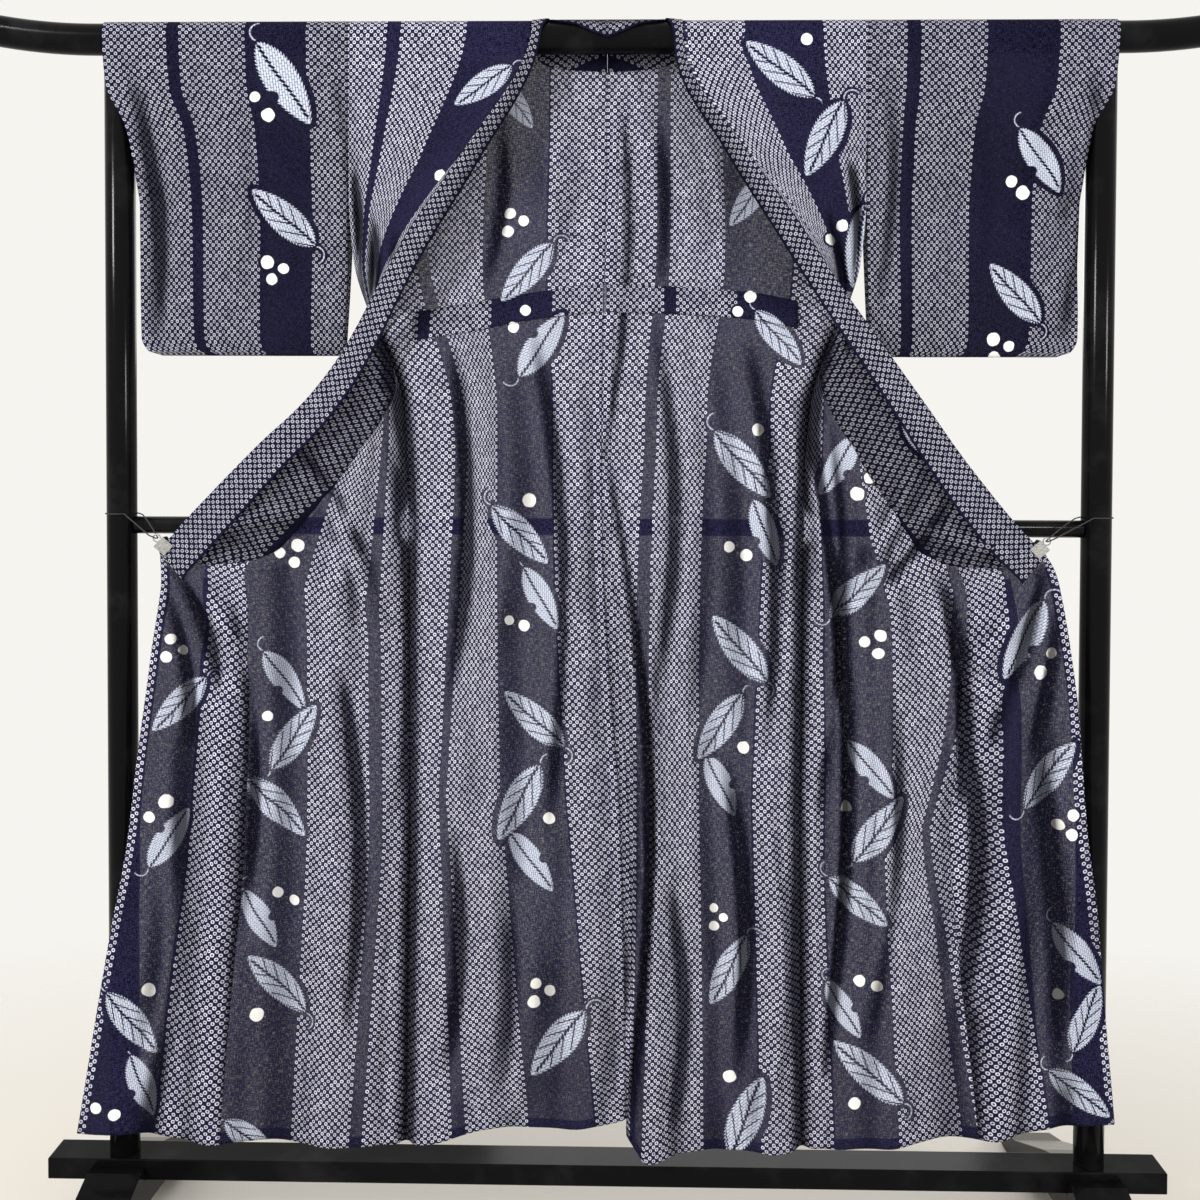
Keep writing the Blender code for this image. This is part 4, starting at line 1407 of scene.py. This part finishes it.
class YUKATA_OT_sleeves(bpy.types.Operator):
    """Make both sleeves, one length each, folded over the rail and sewn along the bottom"""

    bl_idname = "yukata.sleeves"
    bl_label = "Sleeves"

    def execute(self, context):
        loop = sleeve_rows(context.scene.yukata_sizes.cloth_step / MM)
        share = np.linspace(0, 1, 61)[None, :]
        outer = through(SLEEVE_END, loop[:, 1])
        inner = through(SLEEVE_INNER, loop[:, 1])[:, 0]
        x = inner[:, None] + (outer[:, :1] - inner[:, None]) * share
        keep = 1 + (outer[:, 1:2] - 1) * np.clip((share - 0.8) / 0.15, 0, 1)
        low = np.clip((1475 - loop[:, 1]) / 40, 0, 1)
        wave = 3.0 * np.sin(x / 62.0) * low[:, None] + 1.5 * np.sin(x / 31.0 + 1.0) * low[:, None]
        distance = np.maximum(np.abs(loop[:, :1]) * keep, CLOTH / 2 + 0.5)
        y = np.where(loop[:, :1] < 0, -1.0, 1.0) * distance + wave
        flat_points = np.stack([x, y, np.broadcast_to(loop[:, 1:], x.shape)], axis=2)
        for side, seed in (("left", 4.4), ("right", 7.2)):
            points = mirrored(flat_points, side)
            creased = pressed(points.copy(), SLEEVE_CREASES, 0.8)
            hung = np.clip((1650 - loop[:, 1]) / 60, 0, 1)[:, None]
            outward = np.where(loop[:, :1] < 0, 1.0, 0.6)
            points[..., 1] += (creased[..., 1] - points[..., 1]) * hung * outward
            edges = BAND_EDGES if side == "left" else BAND_EDGES[::-1]
            shares = np.broadcast_to(share, x.shape)
            place = cloth_map(loom_place(SLEEVE_BANDS[side], edges, loop[:, 1], shares), arc_length(loop))
            # The sleeves' colours are darkened to 0.66 as painted shade.
            material = cloth_shader(f"sleeve_cotton_{side}", seed, SHEER, 0.66)
            half = len(loop) // 2
            panels = ((f"sleeve_{side}", 0, half, 0.0), (f"sleeve_{side}", half, len(loop), BEHIND_DROP))
            piece = cloth_piece(f"sleeve_cloth_{side}", points, place, material, panels, closed=True)
            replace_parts(piece, f"sleeve_{side}")
        return {"FINISHED"}


def lifted(points, by):
    """The same grid moved off its surface by a distance along the surface's own normal."""
    along = np.gradient(points, axis=0)
    across = np.gradient(points, axis=1)
    normal = np.cross(along, across)
    normal /= np.maximum(np.linalg.norm(normal, axis=-1, keepdims=True), 1e-9)
    facing = np.where(normal[..., 1:2] > 0, -1.0, 1.0)
    return points + normal * facing * by


class YUKATA_OT_edges(bpy.types.Operator):
    """Make the turned hems, the front edges' folds, the seam allowances and the tuck"""

    bl_idname = "yukata.edges"
    bl_label = "Hems, allowances and tuck"

    def execute(self, context):
        hem = context.scene.yukata_sizes.hem_width / MM
        for side, seed in BODY_SEEDS.items():
            body = bpy.data.objects[f"body_{side}"].data.materials[0]
            rows = steps_between(LENGTH - hem, LENGTH - 0.5, 3)
            share = all_shares(len(rows), 55)
            self.make_body_layer(f"hem_front_{side}", side, rows, share, -1.0, body, f"front_{side}")
            self.make_body_layer(f"hem_back_{side}", side, -rows, share, 1.0, body, f"back_{side}")
            self.make_overlap_layers(side, rows, hem)
            self.make_facing(side, seed + 1.0)
            down = steps_between(SIDE_EDGE[5][0] + 10, LENGTH - hem, 7)
            share = all_shares(len(down), 5, 0.002, 0.06)
            self.make_body_layer(f"side_allowance_{side}", side, down, share, -1.2, body)
            down = steps_between(150, LENGTH - hem, 7)
            share = all_shares(len(down), 5, 0.955, 0.998)
            self.make_body_layer(f"centre_allowance_{side}", side, -down, share, 1.1, body)
        self.make_tuck()
        return {"FINISHED"}

    def make_body_layer(self, name, side, down, share, lift, material, panel=()):
        """A second layer that lies on a body length between given shares, with the length's own pattern."""
        points = lifted(body_points(side, down, share), lift)
        cloth_piece(name, points, body_place(side, down, share), material, panel)

    def make_overlap_layers(self, side, rows, hem):
        """The overlap's hem, the fold along its outer edge and the allowance of its seam."""
        seam = through(OVERLAP_SEAM[side], rows)
        part = all_shares(len(rows), OVERLAP_COLUMNS)
        self.make_overlap_layer(f"hem_overlap_{side}", side, rows, seam + part * (1 - seam), -1.0)
        down = steps_between(CLIP_AT + 20, LENGTH - hem, 6)
        seam = through(OVERLAP_SEAM[side], down)
        flap = through(EDGE_FLAP, down) / front_width(side, down)
        across = np.linspace(0, 1, 9)[None, :]
        self.make_overlap_layer(f"front_edge_{side}", side, down, 1.0 - flap + across * (flap - 0.0015), -1.0)
        share = seam + across * 0.5 * (1 - seam)
        self.make_overlap_layer(f"overlap_allowance_{side}", side, down, share, -1.1)

    def make_overlap_layer(self, name, side, down, share, lift):
        """A second layer that lies on an overlap between given shares, with the overlap's own pattern."""
        seam = through(OVERLAP_SEAM[side], down)
        across = loom_place(OVERLAP_BANDS[side], BAND_EDGES[:2], down, (share - seam) / (1 - seam))
        material = bpy.data.objects[f"overlap_cloth_{side}"].data.materials[0]
        points = lifted(front_points(side, down, share), lift)
        cloth_piece(name, points, cloth_map(across, down), material, f"overlap_{side}")

    def make_facing(self, side, seed):
        """The doubled cloth beside the collar, which lies before the front and lets no light through. Its
        colours are darkened as painted shade.
        """
        down = steps_between(FACING[0][0], CLIP_AT, 6)
        inner = by_side(FACING, side, down)[:, None]
        share = inner + np.linspace(0, 1, 33)[None, :] * (0.998 - inner)
        across = FACING_EDGE_PLACE - 0.8 * (1 - share) * front_width(side, down) * MM
        # The facing's colours are darkened to 0.36 as painted shade.
        material = cloth_shader(f"facing_cotton_{side}", seed, 1.0, 0.36)
        points = lifted(front_points(side, down, share), 0.9)
        cloth_piece(f"facing_{side}", points, cloth_map(across, down), material, f"overlap_{side}")

    def make_tuck(self):
        """The tuck: the back's own points between its two edge lines, moved forward in two layers."""
        columns = np.linspace(TUCK[0][0], TUCK[-1][0], 97)
        down_all = np.linspace(300, 560, 90)
        rows = []
        for x, (low, high) in zip(columns, through(TUCK, columns)):
            side = "left" if x < 0 else "right"
            share = 1 - abs(x) / 300
            for _ in range(4):
                line = back_points(side, down_all, np.full((len(down_all), 1), share))[:, 0]
                at = np.argmin(np.abs(line[:, 2] - (low + high) / 2))
                share = float(np.clip(share + (abs(line[at, 0]) - abs(x)) / 300, 0, 1))
            heights = np.linspace(low, high, 11)
            depth = np.interp(heights, line[::-1, 2], line[::-1, 1])
            rows.append(np.stack([np.full(11, x), depth, heights], axis=1))
        points = np.array(rows)
        from_centre = points[..., 0] * 1.08 * MM
        across = np.where(points[..., 0] < 0, -from_centre, LOOM - from_centre)
        place = np.stack([across, points[..., 2] * MM], axis=-1)
        for label, lift in (("tuck_outer", 2.6), ("tuck_inner", 1.3)):
            moved = points.copy()
            moved[..., 1] -= lift
            # Both tuck layers have their colours darkened to 0.85 as painted shade.
            material = cloth_shader(f"{label}_cotton", 2.3, 0.80, 0.85)
            halves = (("back_left", 0, 48, 0.0), ("back_right", 48, 97, 0.0))
            piece = cloth_piece(label, moved, place, material, halves)
            if label == "tuck_outer":
                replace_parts(piece, "back_tuck")


def turned(name, centres, radii, material, slot, sides=64):
    """A round bar: circles of given radii about points along a path in XZ, with a flat face at each end."""
    ahead = np.gradient(centres, axis=0)
    ahead /= np.linalg.norm(ahead, axis=1, keepdims=True)
    across = np.cross(ahead, (0.0, 1.0, 0.0))
    angle = np.linspace(0, 2 * math.pi, sides, endpoint=False)
    ring = across[:, None] * np.cos(angle)[None, :, None]
    ring = ring + np.array((0.0, 1.0, 0.0)) * np.sin(angle)[None, :, None]
    points = centres[:, None] + ring * radii[:, None, None]
    index = np.arange(len(centres) * sides).reshape(len(centres), sides)
    index = np.concatenate([index, index[:, :1]], axis=1)
    quads = face_corners(index)[..., (0, 3, 2, 1)].reshape(-1, 4).tolist()
    caps = [index[0, :-1].tolist(), index[-1, :-1].tolist()[::-1]]
    return shown(name, new_mesh(name, points, quads + caps, flat=2), material)


def rounded_bar(start, end, radius, soft=2.0):
    """Centres and radii along a straight bar whose end edges are rounded over."""
    start, end = np.array(start, float), np.array(end, float)
    length = np.linalg.norm(end - start)
    places = np.array([0, soft * 0.3, soft, length / 2, length - soft, length - soft * 0.3, length])
    radii = radius - np.array([soft, soft * 0.35, 0, 0, 0, soft * 0.35, soft])
    return start + (end - start) * (places / length)[:, None], radii


class YUKATA_OT_stand(bpy.types.Operator):
    """Make the rail, posts and middle bar as smooth round bars, and lacquer the beam and feet"""

    bl_idname = "yukata.stand"
    bl_label = "Stand"

    def execute(self, context):
        lacquer = lacquer_shader("black_lacquer")
        reach = RAIL_END - RAIL_STRAIGHT
        run = np.linspace(RAIL_STRAIGHT, RAIL_END, 13)
        xs = np.concatenate([-run[::-1], [-230, 230], run])
        rise = RAIL_RISE * (np.maximum(np.abs(xs) - RAIL_STRAIGHT, 0) / reach) ** 2
        centres = np.stack([xs, 0 * xs, RAIL_Z + rise], axis=1)
        soft = np.array([2.5, 1.0])
        tip = (centres[0] - centres[1]) / np.linalg.norm(centres[0] - centres[1])
        tips = centres[0] + tip * np.array([[3.0], [1.6]])
        ends = tips * np.array((-1.0, 1.0, 1.0))
        centres = np.concatenate([tips, centres, ends[::-1]])
        radii = np.concatenate([RAIL_RADIUS - soft, np.full(len(xs), RAIL_RADIUS), RAIL_RADIUS - soft[::-1]])
        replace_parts(turned("rail_bar", centres, radii, lacquer, "lacquer"), "rail")
        for side, sign in SIGN.items():
            foot, top = (sign * POST_X, 0, BEAM_TOP + SEAT), (sign * POST_X, 0, RAIL_Z - RAIL_RADIUS - SEAT)
            post = turned(f"post_bar_{side}", *rounded_bar(foot, top, POST_RADIUS, 0.8), lacquer, "lacquer")
            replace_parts(post, f"post_{side}")
            self.make_foot(side, sign, lacquer)
        half = POST_X - POST_RADIUS - SEAT
        bar = rounded_bar((-half, 0, MID_BAR_Z), (half, 0, MID_BAR_Z), MID_BAR_RADIUS, 0.8)
        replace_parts(turned("middle_bar", *bar, lacquer, "lacquer", 48), "mid_bar")
        bpy.data.objects["base_beam"].material_slots[0].material = lacquer
        return {"FINISHED"}

    def make_foot(self, side, sign, material):
        """A saddle block: a closed outline in YZ carried along X, its edges softened by a bevel."""
        notch = BEAM_DEPTH / 2 + SEAT
        bed = BEAM_TOP - BEAM_HEIGHT - SEAT
        half = (
            (notch, bed),
            (notch, 111),
            (38, 111),
            (70, 98),
            (FOOT_REACH - 60, 40),
            (FOOT_REACH - 8, 22),
            (FOOT_REACH, 14),
            (FOOT_REACH, 0),
            (FOOT_REACH - 55, 0),
            (FOOT_REACH - 90, 14),
            (80, 44),
            (0, 52),
        )
        outline = np.array(list(half) + [(-y, z) for y, z in reversed(half[:-1])])
        count = len(outline)
        ends = sign * POST_X + np.repeat((-1.0, 1.0), count) * FOOT_WIDTH / 2
        points = np.column_stack([ends, np.tile(outline, (2, 1))])
        ring = np.arange(count)
        ahead = np.roll(ring, -1)
        faces = np.stack([ring, ahead, ahead + count, ring + count], axis=1).tolist()
        faces += [ring[::-1].tolist(), (ring + count).tolist()]
        mesh = new_mesh(f"foot_block_{side}", points, faces, flat=len(faces))
        piece = shown(f"foot_block_{side}", mesh, material)
        bevel = piece.modifiers.new("Soft edges", "BEVEL")
        bevel.width = 1.6 * MM
        bevel.segments = 3
        bevel.harden_normals = True
        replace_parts(piece, f"foot_{side}")


class YUKATA_OT_clips(bpy.types.Operator):
    """Plate the clips and rings and colour their cords"""

    bl_idname = "yukata.clips"
    bl_label = "Clips"

    def execute(self, context):
        steel, cord = steel_shader("plated_steel"), cord_shader("twisted_cord")
        for side in SIGN:
            for kind, material in (("clip", steel), ("clip_ring", steel), ("clip_cord", cord)):
                bpy.data.objects[f"{kind}_{side}"].material_slots[0].material = material
        return {"FINISHED"}


class YUKATA_OT_stage(bpy.types.Operator):
    """Make the pale floor, the soft studio light and the camera"""

    bl_idname = "yukata.stage"
    bl_label = "Stage"

    def execute(self, context):
        self.make_floor(context)
        self.make_light(context)
        camera = bpy.data.cameras.new("camera")
        camera.lens = CAMERA_LENS
        camera.sensor_width = 36.0
        camera.shift_y = CAMERA_SHIFT
        seen = bpy.data.objects.new("camera", camera)
        right, up, ahead = camera_axes()
        matrix = Matrix((right, up, -ahead)).transposed().to_4x4()
        matrix.translation = Vector(CAMERA_AT)
        seen.matrix_world = matrix
        context.scene.collection.objects.link(seen)
        context.scene.camera = seen
        return {"FINISHED"}

    def make_floor(self, context):
        """A flat disc that clears away with distance, so that the white behind takes over softly."""
        angle = np.linspace(0, 2 * math.pi, 96, endpoint=False)
        ring = np.stack([np.cos(angle), np.sin(angle), 0 * angle], axis=1) * 3.0
        mesh = bpy.data.meshes.new("floor")
        mesh.from_pydata(ring.tolist(), [], [list(range(96))])
        shader = Shader("pale_floor")
        at = shader.node("ShaderNodeTexCoord")[3]
        x, y, _ = shader.node("ShaderNodeSeparateXYZ", None, {0: at})
        away = (x * x * 0.2 + y * y).power(0.5)
        shader.set(base_color=(0.62, 0.585, 0.53, 1.0), roughness=0.55, alpha=1.0 - away.above(0.78, 0.75))
        mesh.materials.append(shader.material)
        floor = bpy.data.objects.new("floor", mesh)
        context.scene.collection.objects.link(floor)

    def make_light(self, context):
        world = bpy.data.worlds.new("studio")
        world.use_nodes = True
        background = world.node_tree.nodes["Background"]
        background.inputs["Color"].default_value = (1.0, 0.985, 0.945, 1.0)
        background.inputs["Strength"].default_value = 0.92
        context.scene.view_settings.view_transform = "Standard"
        context.scene.world = world
        for name, place, size, power in (
            ("key_light", (-2.6, -2.6, 3.0), 0.6, 120.0),
            ("fill_light", (2.9, -2.4, 2.2), 0.5, 50.0),
            ("back_light", (0.5, 3.4, 2.8), 2.2, 50.0),
        ):
            light = bpy.data.lights.new(name, "AREA")
            light.size = size
            light.energy = power
            lamp = bpy.data.objects.new(name, light)
            aim = Vector((0, 0, 0.9)) - Vector(place)
            lamp.matrix_world = Matrix.Translation(place) @ aim.to_track_quat("-Z", "Y").to_matrix().to_4x4()
            context.scene.collection.objects.link(lamp)


OPERATORS = (
    YUKATA_OT_body,
    YUKATA_OT_overlaps,
    YUKATA_OT_collar,
    YUKATA_OT_sleeves,
    YUKATA_OT_edges,
    YUKATA_OT_stand,
    YUKATA_OT_clips,
    YUKATA_OT_stage,
)


class YUKATA_PT_panel(bpy.types.Panel):
    """Lists the robe's operators and their sizes and colours"""

    bl_idname = "YUKATA_PT_panel"
    bl_label = "Yukata"
    bl_space_type = "VIEW_3D"
    bl_region_type = "UI"
    bl_category = "Yukata"

    def draw(self, context):
        for group in (context.scene.yukata_sizes, context.scene.yukata_colours):
            for name in group.__annotations__:
                self.layout.prop(group, name)
        for operator in OPERATORS:
            self.layout.operator(operator.bl_idname)


CLASSES = (YukataSizes, YukataColours, *OPERATORS, YUKATA_PT_panel)


def register():
    for item in CLASSES:
        bpy.utils.register_class(item)
    bpy.types.Scene.yukata_sizes = bpy.props.PointerProperty(type=YukataSizes)
    bpy.types.Scene.yukata_colours = bpy.props.PointerProperty(type=YukataColours)


def unregister():
    del bpy.types.Scene.yukata_colours
    del bpy.types.Scene.yukata_sizes
    for item in reversed(CLASSES):
        bpy.utils.unregister_class(item)


def main():
    register()
    for operator in OPERATORS:
        group, name = operator.bl_idname.split(".")
        getattr(getattr(bpy.ops, group), name)()


if __name__ == "__main__":
    main()
